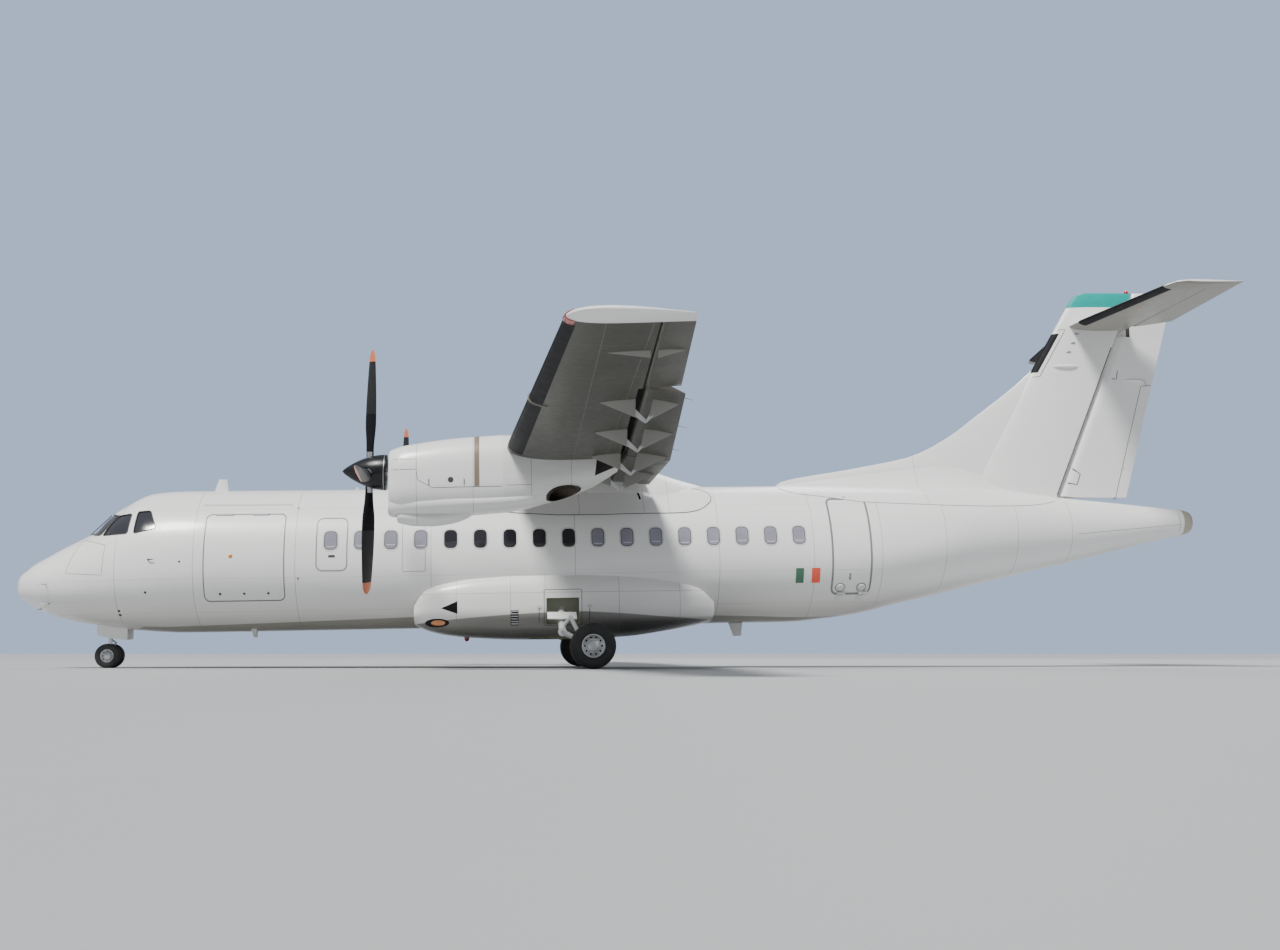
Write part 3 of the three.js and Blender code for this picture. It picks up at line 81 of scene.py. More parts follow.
BELLY = np.array([
    (7.28, 1.15, -.7, -.9, -1.16), (7.45, 1.36, -.42, -.78, -1.24), (7.8, 1.46, -.25, -.75, -1.33),
    (8.4, 1.515, -.12, -.75, -1.4), (9.3, 1.53, -.06, -.75, -1.445), (10.3, 1.53, -.06, -.75, -1.45),
    (11.2, 1.51, -.12, -.75, -1.42), (12, 1.44, -.25, -.76, -1.32), (12.5, 1.33, -.42, -.78, -1.235),
    (12.76, 1.15, -.7, -.9, -1.18)])
ROOF = np.array([
    (7.9, .42, 1.43, .9, .6), (8.28, .69, 1.59, .9, .6), (8.65, .86, 1.81, .9, .6),
    (9.02, .95, 1.965, .9, .6), (9.6, .955, 2.04, .9, .6), (10.7, .95, 2.01, .9, .6),
    (11.3, .935, 1.9, .9, .6), (11.74, .9, 1.76, .9, .6), (12.2, .78, 1.6, .9, .6),
    (12.75, .48, 1.44, .9, .6)])
NACELLE = np.array([
    (7.07, .32, 1.6, 1.12, .66), (7.24, .4, 1.665, 1.12, .6), (7.64, .445, 1.735, 1.12, .57),
    (8, .462, 1.785, 1.13, .56), (8.4, .47, 1.82, 1.15, .56), (8.96, .468, 1.85, 1.165, .59),
    (9.64, .43, 1.8, 1.2, .74), (10.32, .345, 1.74, 1.28, .97), (10.77, .23, 1.7, 1.38, 1.24)])
# half span, leading edge, chord, thickness ratio, height of the leading edge
WING = np.array([
    (0, 8.96, 2.58, .18, 1.6), (4.4, 8.96, 2.58, .18, 1.6), (11.9, 9.56, 1.457, .13, 1.941),
    (12.18, 9.68, 1.318, .1, 1.953), (12.285, 9.9, 1.09, .05, 1.957)])
# span, leading edge, trailing edge, half thickness
TAILPLANE = np.array([
    (0, 20.3, 22.275, .1), (3.25, 20.77, 22.105, .068), (3.56, 20.86, 22.092, .048),
    (3.655, 21.06, 22.06, .014)])
# height, leading edge, trailing edge, half thickness
FIN = np.array([
    (.9, 17.766, 21.257, .205), (3.72, 19.5, 22.101, .15), (5.18, 20.398, 22.538, .112),
    (5.29, 20.49, 22.571, .08), (5.345, 20.7, 22.57, .03)])
# height, leading edge of the dorsal fillet, its half thickness
DORSAL = np.array([
    (1.2, 14, .105), (1.51, 14.29, .105), (1.78, 15.79, .1), (2, 16.9, .098), (2.35, 17.65, .094),
    (2.87, 18.39, .09), (3.42, 19.13, .084), (3.76, 19.53, .08)])


def place(points):
    """Airframe (station, span, height) to the row frame."""
    p = np.asarray(points, float)
    x = REFERENCE - p[..., 0]
    z = p[..., 2]
    return np.stack([x * CP + z * SP, p[..., 1], -x * SP + z * CP + LIFT], -1)


def smooth(table, column, where):
    """Monotone cubic through a table's column."""
    x, y = table[:, 0], table[:, column]
    h = np.diff(x)
    slope = np.diff(y) / h
    m = np.zeros_like(y)
    m[0], m[-1] = slope[0], slope[-1]
    for i in range(1, len(y) - 1):
        if slope[i - 1] * slope[i] > 0:
            a, b = 2 * h[i] + h[i - 1], h[i] + 2 * h[i - 1]
            m[i] = (a + b) / (a / slope[i - 1] + b / slope[i])
    w = np.clip(np.asarray(where, float), x[0], x[-1])
    k = np.clip(np.searchsorted(x, w, side="right") - 1, 0, len(h) - 1)
    t = (w - x[k]) / h[k]
    return ((2 * t**3 - 3 * t**2 + 1) * y[k] + (t**3 - 2 * t**2 + t) * h[k] * m[k]
            + (3 * t**2 - 2 * t**3) * y[k + 1] + (t**3 - t**2) * h[k] * m[k + 1])


def linear(table, column, where):
    return np.interp(where, table[:, 0], table[:, column])


def turns(n):
    return 2 * np.pi * np.arange(n) / n


def bend(v, power):
    """Cosine or sine of a superellipse of a power."""
    return np.sign(v) * np.abs(v) ** (2 / power)


def body_ring(row, s, grow, power, span):
    half, top, widest, bottom = row
    a = turns(AROUND)
    lift = bend(np.sin(a), power)
    reach = np.where(lift >= 0, top - widest + grow, widest - bottom + grow)
    spans = span + bend(np.cos(a), power) * (half + grow)
    return np.stack([np.full(AROUND, s), spans, widest + lift * reach], -1)


# Meshes; a material is a key of paint or a material itself

def added(name, data):
    ob = bpy.data.objects.new(name, data)
    bpy.context.scene.collection.objects.link(ob)
    return ob


def mesh(points, faces, material, sharp=35, shade=True):
    data = bpy.data.meshes.new("part")
    data.from_pydata([tuple(map(float, p)) for p in points], [], [tuple(map(int, f)) for f in faces])
    data.validate(clean_customdata=False)
    if shade:
        data.shade_smooth()
        data.set_sharp_from_angle(angle=math.radians(sharp))
    for m in material if isinstance(material, list) else [material]:
        data.materials.append(paint[m] if isinstance(m, str) else m)
    return added("part", data)


def outward(ob):
    bm = bmesh.new()
    bm.from_mesh(ob.data)
    bmesh.ops.recalc_face_normals(bm, faces=bm.faces)
    bm.to_mesh(ob.data)
    bm.free()
    return ob


def loft(rings, material, sharp=35, world=False):
    """Closed solid through rings of airframe places, or of row-frame places."""
    rings = np.asarray(rings, float)
    rows, n = rings.shape[:2]
    faces = [(a + k, a + (k + 1) % n, a + (k + 1) % n + n, a + k + n)
             for a in range(0, (rows - 1) * n, n) for k in range(n)]
    faces += [range(n)[::-1], range((rows - 1) * n, rows * n)]
    points = rings.reshape(-1, 3)
    return outward(mesh(points if world else place(points), faces, material, sharp))


def prism(outline, axis, low, high, material):
    """Outline in two of (station, span, height), run along the third, which is s, y or z."""
    along = "syz".index(axis)
    rings = np.zeros((2, len(outline), 3))
    for ring, v in zip(rings, (low, high)):
        ring[:, along] = v
        ring[:, [k for k in range(3) if k != along]] = np.asarray(outline)
    return loft(rings, material)


def rounded_box(s0, s1, z0, z1, radius, steps=6):
    out = []
    for cs, cz, start in ((s1 - radius, z1 - radius, 0), (s0 + radius, z1 - radius, 90),
                          (s0 + radius, z0 + radius, 180), (s1 - radius, z0 + radius, 270)):
        for k in range(steps + 1):
            a = math.radians(start + 90 * k / steps)
            out.append((cs + radius * math.cos(a), cz + radius * math.sin(a)))
    return out


def ellipse(s, z, a, b, n):
    return [(s + a * math.cos(v), z + b * math.sin(v)) for v in turns(n)]


def boolean(ob, cutters, kind="DIFFERENCE"):
    for c in cutters:
        mod = ob.modifiers.new("cut", "BOOLEAN")
        mod.operation, mod.object, mod.solver, mod.material_mode = kind, c, "EXACT", "TRANSFER"
    done = bpy.data.meshes.new_from_object(ob.evaluated_get(bpy.context.evaluated_depsgraph_get()))
    ob.modifiers.clear()
    ob.data = done
    done.set_sharp_from_angle(angle=math.radians(30))
    for c in cutters:
        bpy.data.objects.remove(c)
    return ob


def joined(obs):
    """One object from several."""
    points, faces, kinds, mats = [], [], [], []
    for ob in obs:
        base = len(points)
        for m in ob.data.materials:
            if m not in mats:
                mats.append(m)
        slots = [mats.index(m) for m in ob.data.materials]
        points += [tuple(v.co) for v in ob.data.vertices]
        faces += [[base + v for v in f.vertices] for f in ob.data.polygons]
        kinds += [slots[f.material_index] for f in ob.data.polygons]
    out = mesh(points, faces, mats)
    out.data.polygons.foreach_set("material_index", kinds)
    for ob in obs:
        bpy.data.objects.remove(ob)
    return out


def piece(name, parts, body, slot, *nodes):
    """Name a piece, one object or several, give it its body and hide the nodes that it replaces; its slot is
    not used.
    """
    ob = joined(parts) if isinstance(parts, list) else parts
    ob.name = ob.data.name = name
    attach(ob, body)
    if nodes:
        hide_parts(*nodes)


def across(d):
    """A direction to measure turns from, not along d."""
    return np.array([0, 0, 1.0] if abs(d[2]) < .9 else [1.0, 0, 0])


def tube(path, radius, material, around=16, world=False):
    path = np.asarray(path, float) if world else place(path)
    t = np.gradient(path, axis=0)
    t /= np.linalg.norm(t, axis=1)[:, None]
    ref, u = across(t[0]), []
    for d in t:
        ref = ref - d * np.dot(ref, d)
        ref = ref / np.linalg.norm(ref)
        u.append(ref)
    u = np.array(u)
    a = turns(around)[None, :, None]
    out = np.cos(a) * u[:, None] + np.sin(a) * np.cross(t, u)[:, None]
    return loft(path[:, None] + np.broadcast_to(radius, len(path))[:, None, None] * out, material, world=True)


def rod(path, radius, material, around=16):
    """Tube along row-frame places."""
    return tube(path, radius, material, around, True)


def turned(outline, centre, axis, material, around=64, sharp=35):
    """Outline of (radius, along) turned about an axis through a row-frame place; zero radii close it."""
    axis = np.asarray(axis, float) / np.linalg.norm(axis)
    ref = across(axis)
    u = ref - axis * np.dot(ref, axis)
    u /= np.linalg.norm(u)
    a = turns(around)[:, None]
    turn = np.cos(a) * u + np.sin(a) * np.cross(axis, u)
    points, rings = [], []
    for r, h in outline:
        middle = np.asarray(centre) + axis * h
        ring = [middle] if r < 1e-6 else list(middle + r * turn)
        rings.append([len(points) + k for k in range(len(ring))] * (around if len(ring) == 1 else 1))
        points += ring
    pairs = list(zip(rings[:-1], rings[1:]))
    if outline[0][0] > 1e-6:
        pairs.append((rings[-1], rings[0]))
    faces = []
    for p, q in pairs:
        for k in range(around):
            n = (k + 1) % around
            face = list(dict.fromkeys((p[k], p[n], q[n], q[k])))
            if len(face) > 2:
                faces.append(face)
    return outward(mesh(points, faces, material, sharp))


def annulus(r0, r1, a, b):
    """Outline of a turned ring or disc."""
    return [(r0, a), (r1, a), (r1, b), (r0, b)]


# Materials

class Paint:
    """A principled material with helpers for its nodes."""

    def __init__(self, name, metal=0.0, coat=0.0):
        self.m = bpy.data.materials.new(name)
        self.m.use_nodes = True
        self.t = self.m.node_tree
        self.b = self.t.nodes["Principled BSDF"]
        self.b.inputs["Metallic"].default_value = metal
        self.b.inputs["Coat Weight"].default_value = coat
        self.b.inputs["Coat Roughness"].default_value = .12
        self.object = self.new("ShaderNodeTexCoord").outputs["Object"]

    def new(self, kind, **props):
        n = self.t.nodes.new(kind)
        for k, v in props.items():
            setattr(n, k, v)
        return n

    def put(self, socket, value):
        if isinstance(value, bpy.types.NodeSocket):
            self.t.links.new(value, socket)
        else:
            socket.default_value = value

    def math(self, op, a, b=0.0, c=0.0, clamp=False):
        n = self.new("ShaderNodeMath", operation=op, use_clamp=clamp)
        for i, v in enumerate((a, b, c)):
            self.put(n.inputs[i], v)
        return n.outputs[0]

    def dot(self, direction, shift):
        n = self.new("ShaderNodeVectorMath", operation="DOT_PRODUCT")
        self.put(n.inputs[0], self.object)
        n.inputs[1].default_value = direction
        return self.math("ADD", n.outputs["Value"], shift)

    def axes(self):
        """Station, span and height of the point, from object coordinates."""
        s = self.dot((-CP, 0, SP), REFERENCE - SP * LIFT)
        z = self.dot((SP, 0, CP), -CP * LIFT)
        y = self.dot((0, 1, 0), 0)
        return s, y, z

    def ramp(self, value, stops):
        n = self.new("ShaderNodeValToRGB")
        els = n.color_ramp.elements
        els[0].position, els[1].position = stops[0][0], stops[-1][0]
        for at_, _ in stops[1:-1]:
            els.new(at_)
        for e, (_, c) in zip(els, stops):
            e.color = (*c, 1) if isinstance(c, tuple) else (c, c, c, 1)
        self.put(n.inputs["Fac"], value)
        return n.outputs["Color"]

    def noise(self, scale, detail, rough=.5, stretch=(1, 1, 1)):
        v = self.new("ShaderNodeMapping")
        self.put(v.inputs["Vector"], self.object)
        v.inputs["Scale"].default_value = stretch
        n = self.new("ShaderNodeTexNoise")
        self.put(n.inputs["Vector"], v.outputs["Vector"])
        n.inputs["Scale"].default_value = scale
        n.inputs["Detail"].default_value = detail
        n.inputs["Roughness"].default_value = rough
        return n.outputs["Fac"]

    def mix(self, fac, a, b):
        n = self.new("ShaderNodeMix", data_type="RGBA", clamp_factor=True)
        self.put(n.inputs["Factor"], fac)
        for i, v in ((6, a), (7, b)):
            self.put(n.inputs[i], (*v, 1) if isinstance(v, tuple) else v)
        return n.outputs[2]

    def band(self, value, centre, half, soft=.003):
        """1 within half of centre, falling to 0 over soft."""
        d = self.math("ABSOLUTE", self.math("SUBTRACT", value, centre))
        return self.math("MULTIPLY", self.math("SUBTRACT", half + soft, d), 1 / soft, clamp=True)

    def below(self, value, limit, soft):
        """1 below the limit, falling to 0 above it over soft."""
        return self.math("MULTIPLY_ADD", self.math("SUBTRACT", limit, value), 1 / soft, .5, clamp=True)

    def most(self, values):
        out = values[0]
        for v in values[1:]:
            out = self.math("MAXIMUM", out, v)
        return out

    def times(self, *values):
        out = values[0]
        for v in values[1:]:
            out = self.math("MULTIPLY", out, v)
        return out

    def done(self, colour, rough, bump=None, distance=.002, strength=.5):
        self.put(self.b.inputs["Base Color"], (*colour, 1) if isinstance(colour, tuple) else colour)
        self.put(self.b.inputs["Roughness"], rough)
        if bump is not None:
            n = self.new("ShaderNodeBump")
            n.inputs["Distance"].default_value = distance
            n.inputs["Strength"].default_value = strength
            self.put(n.inputs["Height"], bump)
            self.t.links.new(n.outputs["Normal"], self.b.inputs["Normal"])
        return self.m


WHITE = (.86, .86, .85)
PALE = (.82, .82, .80)
# grey of the belly paint, darkened further as painted shade
BELLY_GREY_AND_SHADE = (.24, .235, .215)
DIRT = (.28, .26, .22)
LINE = (.2, .19, .175)
LENGTH = 22.64


def surface(p, base, lines, amount=.12, mottle=.10):
    """Paint with panel lines, slight mottling, streaks along the airflow and fine relief."""
    streak = p.noise(1.6, 4, .6, (.25, 1.6, 1.6))
    patch = p.noise(.7, 3, .5)
    fac = p.math("MULTIPLY", p.math("MULTIPLY_ADD", streak, 1.6, -.62, clamp=True), amount)
    colour = p.mix(p.math("MULTIPLY", patch, mottle), p.mix(fac, base, DIRT), (.9, .9, .9))
    rough = p.math("MULTIPLY_ADD", p.noise(9, 3), .18, .24)
    relief = p.math("MULTIPLY", p.noise(180, 2), .08)
    if lines is not None:
        colour = p.mix(p.math("MULTIPLY", lines, .62), colour, LINE)
        relief = p.math("SUBTRACT", relief, lines)
    return p.done(colour, rough, relief, .003, .35)


def skin_paint(name, white_only=False):
    """Fuselage paint: white, with the grey belly, and grime and painted shade darkening it towards the
    bottom, unless it is white only.
    """
    p = Paint(name, coat=.25)
    s, y, z = p.axes()
    side = p.math("ABSOLUTE", y)
    rings = [p.band(s, c, .0035)
             for c in (2.04, 3.42, 5.2, 7.6, 10.2, 12.85, 14.62, 15.92, 17.2, 18.72, 19.9)]
    laps = [p.band(z, c, .0025) for c in (.98, -.28, -.86)]
    lines = p.most(rings + [p.times(p.most(laps), p.math("LESS_THAN", s, 16.0), .45)])
    base = WHITE
    if not white_only:
        stops = [(0, 0), (1.96, 0), (2.13, .13), (2.38, .5), (3.3, .6), (5.15, .69), (7.5, .8),
                 (12.75, .667), (13.74, .588), (14.49, .49), (15.26, .29), (15.55, 0), (LENGTH, 0)]
        width = p.ramp(p.math("DIVIDE", s, LENGTH), [(a / LENGTH, b) for a, b in stops])
        grey = p.times(p.below(side, width, .012), p.math("LESS_THAN", z, -.6))
        # the lower sides darken towards the bottom: partly grime, partly painted shade
        grime_and_shade = p.times(p.below(z, -.72, .62),
                        p.math("MULTIPLY_ADD", p.noise(1.1, 5, .6, (.3, 1, 1)), .7, .45))
        base = p.mix(p.math("MULTIPLY", grime_and_shade, .62), p.mix(grey, WHITE, BELLY_GREY_AND_SHADE), (.27, .25, .19))
    return surface(p, base, lines)


def plain_paint(name, colour, coat=.2, amount=.1, stations=(), spans=(), mottle=.10):
    """Paint of one colour with panel lines at stations and at spans."""
    p = Paint(name, coat=coat)
    s, y, _ = p.axes()
    side = p.math("ABSOLUTE", y)
    rows = [p.band(s, c, .003) for c in stations] + [p.band(side, c, .003) for c in spans]
    return surface(p, colour, p.most(rows) if rows else None, amount, mottle)


# station and height of the edge between white and grey on the belly fairing
BELLY_EDGE = [(7.28, -1.14), (7.6, -1.106), (8.1, -1.062), (9.03, -1.0), (9.74, -.973), (10.35, -.967),
              (11.0, -1.01), (11.65, -1.068), (12.3, -1.12), (12.76, -1.16)]


def belly_paint():
    """White above an edge; below it, grey that darkens towards the bottom as painted shade, with soot behind
    the wheels.
    """
    p = Paint("belly_paint", coat=.2)
    s, _, z = p.axes()
    front, length = 7.28, 5.48
    stops = [((a - front) / length, b + 2) for a, b in BELLY_EDGE]
    limit = p.ramp(p.math("DIVIDE", p.math("SUBTRACT", s, front), length), stops)
    grey = p.below(p.math("ADD", z, 2), limit, .012)
    # painted shade: the grey below the edge darkens towards the bottom
    shade = p.mix(p.below(z, -1.2, .35), (.26, .255, .235), (.09, .086, .074))
    behind = p.math("MULTIPLY", p.math("SUBTRACT", s, 10.0), .9, clamp=True)
    soot = p.times(behind, p.below(z, -1.13, .12),
                   p.math("MULTIPLY_ADD", p.noise(1.3, 5, .65, (.35, 1, 1)), 1.5, .1, clamp=True))
    lines = p.most([p.band(s, c, .003) for c in (8.05, 9.02, 9.64, 10.98, 12.1)] + [p.band(z, -.62, .0025)])
    return surface(p, p.mix(soot, p.mix(grey, PALE, shade), (.022, .02, .016)), lines, .2)


def flap_paint():
    """Grey darkened as painted shade, with soot behind the engine, near the trailing edge."""
    p = Paint("flap_grey", coat=.2)
    s, y, _ = p.axes()
    side = p.math("ABSOLUTE", y)
    lines = p.most([p.band(side, c, .003) for c in (1.75, 3.2, 5.5, 7.3, 10.0)])
    patch = p.times(p.band(side, 4.02, .26, .12), p.below(p.math("MULTIPLY", s, -1.0), -11.24, .1))
    soot = p.times(patch, p.math("MULTIPLY_ADD", p.noise(3, 4), .5, .7, clamp=True))
    # the flap's grey is darker than its paint, for the shade under the wing: painted shade
    return surface(p, p.mix(soot, (.07, .069, .058), (.018, .017, .02)), lines, .2, mottle=.03)


def metal(name, colour, rough=.35, amount=.5, relief=.25):
    p = Paint(name, 1.0)
    n = p.noise(30, 4, .6)
    base = p.mix(p.math("MULTIPLY", n, amount), colour, tuple(c * .45 for c in colour))
    return p.done(base, p.math("MULTIPLY_ADD", n, .3, rough - .12), p.noise(180, 2), .001, relief)


def rubber(name, colour=(.018, .018, .02), rough=.7, dust=(.07, .066, .06), shine=.5):
    """Dull coat of one colour with another as dust on it."""
    p = Paint(name)
    p.b.inputs["Specular IOR Level"].default_value = shine
    n = p.noise(6, 5, .65)
    base = p.mix(p.math("MULTIPLY_ADD", n, 1.2, -.35, clamp=True), colour, dust)
    return p.done(base, p.math("MULTIPLY_ADD", n, .25, rough - .15), p.noise(220, 3), .001, .4)


def glossy(name, colour, other, rough, scale):
    """Glass or lens between two tones."""
    p = Paint(name, coat=1.0)
    return p.done(p.mix(p.noise(scale, 2), colour, other), rough)


def glass(name, colour):
    return glossy(name, colour, tuple(min(1, c * 1.6 + .004) for c in colour), .07, 2.5)


def lens(name, colour):
    return glossy(name, colour, tuple(c * .55 for c in colour), .15, 40)


WING_RIBS = (5.2, 6.7, 8.0, 9.6, 11.1)
paint = {
    "skin": skin_paint("fuselage_paint"),
    "white": skin_paint("white_paint", True),
    # painted shade: the greys of the wing, the inner wing and the track fairings are darkened to stand for
    # the shade under the wing; upward faces take the paler top paint
    "wing": plain_paint("wing_grey", (.062, .061, .05), stations=(10.02, 10.55), spans=WING_RIBS, mottle=.03),
    "inner": plain_paint("inner_wing_grey", (.20, .20, .18), stations=(9.4, 10.15, 10.62), spans=(1.9, 3.1)),
    "pod": plain_paint("track_fairing_grey", (.19, .19, .17)),
    "top": plain_paint("wing_top_grey", (.60, .60, .585), stations=(9.75, 10.6), spans=(3.1, *WING_RIBS)),
    "flap": flap_paint(),
    "belly": belly_paint(),
    "fairing": plain_paint("wing_fairing_white", PALE, stations=(9.2, 10.3, 11.5, 11.98), amount=.25),
    "cowl": plain_paint("cowl_white", (.84, .84, .83), stations=(7.52, 8.42), amount=.25),
    "nacelle": plain_paint("nacelle_white", (.78, .78, .765), stations=(9.35, 10.0), amount=.5),
    "composite": plain_paint("composite_white", WHITE, coat=.3),
    # painted shade: the downward faces of the tailplane and elevators take this darker grey for their shade
    "tail_under": plain_paint("tailplane_grey", (.26, .25, .225)),
    "dorsal": plain_paint("dorsal_white", WHITE, coat=.3, stations=(16.98,)),
    "grey": plain_paint("composite_grey", (.42, .42, .40)),
    "teal": rubber("teal_paint", (.002, .34, .31), .45, (.004, .27, .25), .2),
    "boot": rubber("deicer_boot", (.006, .006, .009), .6, (.014, .014, .018), .15),
    "tyre": rubber("tyre_rubber"),
    "seal": rubber("seal_rubber", (.05, .048, .045), .8),
    "glass": glass("flight_deck_glass", (.018, .019, .024)),
    "pane": glass("cabin_pane", (.010, .010, .014)),
    "blind": glass("window_blind", (.21, .205, .25)),
    "frame": plain_paint("window_frame", (.62, .62, .61), amount=.05),
    "steel": metal("bare_steel", (.55, .56, .58)),
    "chrome": metal("polished_piston", (.8, .8, .82), .16, .15, relief=.03),
    "burnt": metal("burnt_steel", (.10, .08, .068), .55, .8),
    "gear": plain_paint("gear_paint", (.62, .63, .64), amount=.25),
    "rim": metal("rim_alloy", (.70, .71, .72), .4, .35),
    "black": rubber("blade_black", (.013, .013, .015), .42, (.035, .034, .034), .3),
    "spinner": rubber("spinner_black", (.008, .008, .011), .33, (.02, .02, .024), .35),
    "orange": plain_paint("blade_tip_orange", (.75, .17, .05)),
    "lining": plain_paint("cabin_lining", (.52, .51, .46), coat=0),
    "floor": rubber("cabin_floor", (.07, .072, .08), .8),
    "bay": plain_paint("bay_primer", (.28, .30, .20), coat=0, amount=.5),
    "green": plain_paint("bar_green", (.004, .12, .05), coat=0, amount=.03),
    "flagorange": plain_paint("bar_orange", (.86, .055, .004), coat=0, amount=.03),
    "seam": plain_paint("door_seal_grey", (.17, .175, .175), coat=0, amount=.3),
    "red": lens("red_lens", (.5, .01, .01)),
    "greenlens": lens("green_lens", (.01, .4, .1)),
    "amber": lens("amber_lens", (.8, .25, .02)),
    "lamp": lens("lamp_glass", (.75, .75, .7)),
    # near-black inside openings, holes and under the flap slots' lips: painted shade
    "dark": rubber("opening_painted_shade", (.008, .008, .008), .9),
    "brown": plain_paint("heat_band", (.20, .15, .10), amount=.5),
    "beige": plain_paint("tail_cap_beige", (.40, .37, .29), amount=.3),
}
# the grey undersides are dull, so that the pale floor doesn't show in them
for dull in ("wing", "inner", "pod", "flap", "tail_under"):
    shader = paint[dull].node_tree.nodes["Principled BSDF"]
    shader.inputs["Coat Weight"].default_value = 0
    shader.inputs["Specular IOR Level"].default_value = .15


# Surfaces of the airframe

class Hull:
    """Body with superelliptic sections, from rows of station, half width, top, widest, bottom."""

    def __init__(self, table, power=2.0, span=0.0, blunt=False):
        rows = table.copy()
        if blunt:
            rows[:, 0] = np.sqrt(rows[:, 0])
        u = np.linspace(rows[0, 0], rows[-1, 0], 2500)
        self.s = u**2 if blunt else u
        self.cols = [smooth(rows, c, u) for c in (1, 2, 3, 4)]
        self.power, self.span = power, span

    def row(self, s):
        return [float(np.interp(s, self.s, c)) for c in self.cols]

    def ring(self, s, grow=0.0):
        return body_ring(self.row(s), s, grow, self.power, self.span)

    def side(self, side):
        """Skin place by station, height and offset."""
        def skin(s, z, off):
            half, top, widest, bottom = self.row(s)
            reach = (top - widest if z >= widest else widest - bottom) + off
            lift = min(1.0, abs(z - widest) / reach)
            return s, self.span + side * (half + off) * (1 - lift**self.power) ** (1 / self.power), z
        return skin

    def roof(self):
        """Skin place on the upper side by station, span and offset."""
        def skin(s, y, off):
            half, top, widest, _ = self.row(s)
            share = min(1.0, abs(y - self.span) / (half + off))
            return s, y, widest + (top - widest + off) * (1 - share**self.power) ** (1 / self.power)
        return skin


hull = Hull(FUSELAGE, blunt=True)
belly_hull = Hull(BELLY, 3.0)
roof_hull = Hull(ROOF)


def densify(path, step=.06, closed=True):
    pts = [np.asarray(p, float) for p in path]
    out = []
    for a, b in zip(pts, pts[1:] + (pts[:1] if closed else [])):
        n = max(1, int(np.ceil(np.linalg.norm(b - a) / step)))
        out += [a + (b - a) * k / n for k in range(n)]
    return np.array(out if closed else out + [pts[-1]])


def box(s0, s1, z0, z1):
    return densify([(s0, z0), (s1, z0), (s1, z1), (s0, z1)])


def soft_box(s0, s1, z0, z1, radius):
    return densify(rounded_box(s0, s1, z0, z1, radius))


def scaled(outline, margin):
    """Outline moved inwards by a margin, for near-convex shapes."""
    o = np.asarray(outline, float)
    before, after = np.roll(o, 1, 0), np.roll(o, -1, 0)
    t = after - before
    t /= np.maximum(np.linalg.norm(t, axis=1), 1e-9)[:, None]
    n = np.stack([-t[:, 1], t[:, 0]], 1)
    area = np.sum(o[:, 0] * after[:, 1] - after[:, 0] * o[:, 1])
    return o + n * margin * (1 if area > 0 else -1)


def plate(skin, outline, low, high, material, steps=4, inner=None):
    """Closed plate on a skin between two offsets; an inner outline makes it a frame."""
    outline = np.asarray(outline, float)
    n, mid = len(outline), outline.mean(0)
    if inner is None:
        loops = [mid + (outline - mid) * t for t in np.linspace(1, 0, steps + 1)[:-1]]
    else:
        loops = [outline + (inner - outline) * t for t in (0, .5, 1)]
    k = len(loops)
    points = [skin(u, v, off) for off in (high, low) for loop in loops for u, v in loop]
    at_ = lambda layer, j, i: (layer * k + j) * n + i % n
    quads = lambda *corners: [[at_(layer, j, i + d) for layer, j, d in corners] for i in range(n)]
    faces = []
    for layer in (0, 1):
        for j in range(k - 1):
            faces += quads((layer, j, 0), (layer, j, 1), (layer, j + 1, 1), (layer, j + 1, 0))
    faces += quads((0, 0, 0), (1, 0, 0), (1, 0, 1), (0, 0, 1))
    if inner is not None:
        faces += quads((0, k - 1, 0), (0, k - 1, 1), (1, k - 1, 1), (1, k - 1, 0))
    else:
        for layer, off in enumerate((high, low)):
            points.append(skin(*mid, off))
            faces += [(at_(layer, k - 1, i), at_(layer, k - 1, i + 1), len(points) - 1) for i in range(n)]
    return outward(mesh(place(np.array(points)), faces, material))


def strip(skin, outline, width, material, high=.0012):
    """Thin line of a given width along a closed outline."""
    return plate(skin, scaled(outline, -width / 2), -.004, high, material, inner=scaled(outline, width / 2))


def line(skin, path, width, material, high=.0012, low=-.004):
    """Thin line along an open path on a skin."""
    p = densify(path, .08, False)
    t = np.gradient(p, axis=0)
    t /= np.linalg.norm(t, axis=1)[:, None]
    n = np.stack([-t[:, 1], t[:, 0]], 1) * width / 2
    rings = [[skin(*a, high), skin(*b, high), skin(*b, low), skin(*a, low)] for a, b in zip(p + n, p - n)]
    return loft(rings, material)


def sleeve(rows, material, high=.003):
    """Thin closed cover round a leading edge; each row runs from a section's upper end to its lower end."""
    rows = np.asarray(rows, float)
    n = np.cross(np.gradient(rows, axis=1), np.gradient(rows, axis=0))
    n /= np.linalg.norm(n, axis=2)[..., None]
    front = rows.shape[1] // 2
    n *= np.sign(np.dot(n[0, front], rows[0, front] - rows[0, [0, -1]].mean(0)))
    return loft(np.concatenate([rows + n * high, (rows - n * .006)[:, ::-1]], 1), material)


def front_curve(lead, chord, middle, half, upper, lower, n=13):
    """Open curve round a leading edge as (station, height), between depths on its two sides."""
    t = 1 - np.cos(np.linspace(0, np.pi / 2, n))
    at_ = lambda s, up: (s, float(middle((s - lead) / chord) + up * half((s - lead) / chord)))
    return [at_(lead + d * upper, 1) for d in t[::-1]] + [at_(lead + d * lower, -1) for d in t[1:]]


def dome(skin, middle, half, height, material):
    """Elliptic bump on a skin, closed below it."""
    around = lambda share: ellipse(*middle, share * half[0], share * half[1], 28)
    rings = [[skin(s, z, -.006) for s, z in around(1)]]
    for t in np.linspace(0, .97, 7) * np.pi / 2:
        rings.append([skin(s, z, height * math.sin(t)) for s, z in around(math.cos(t))])
    return loft(rings, material)


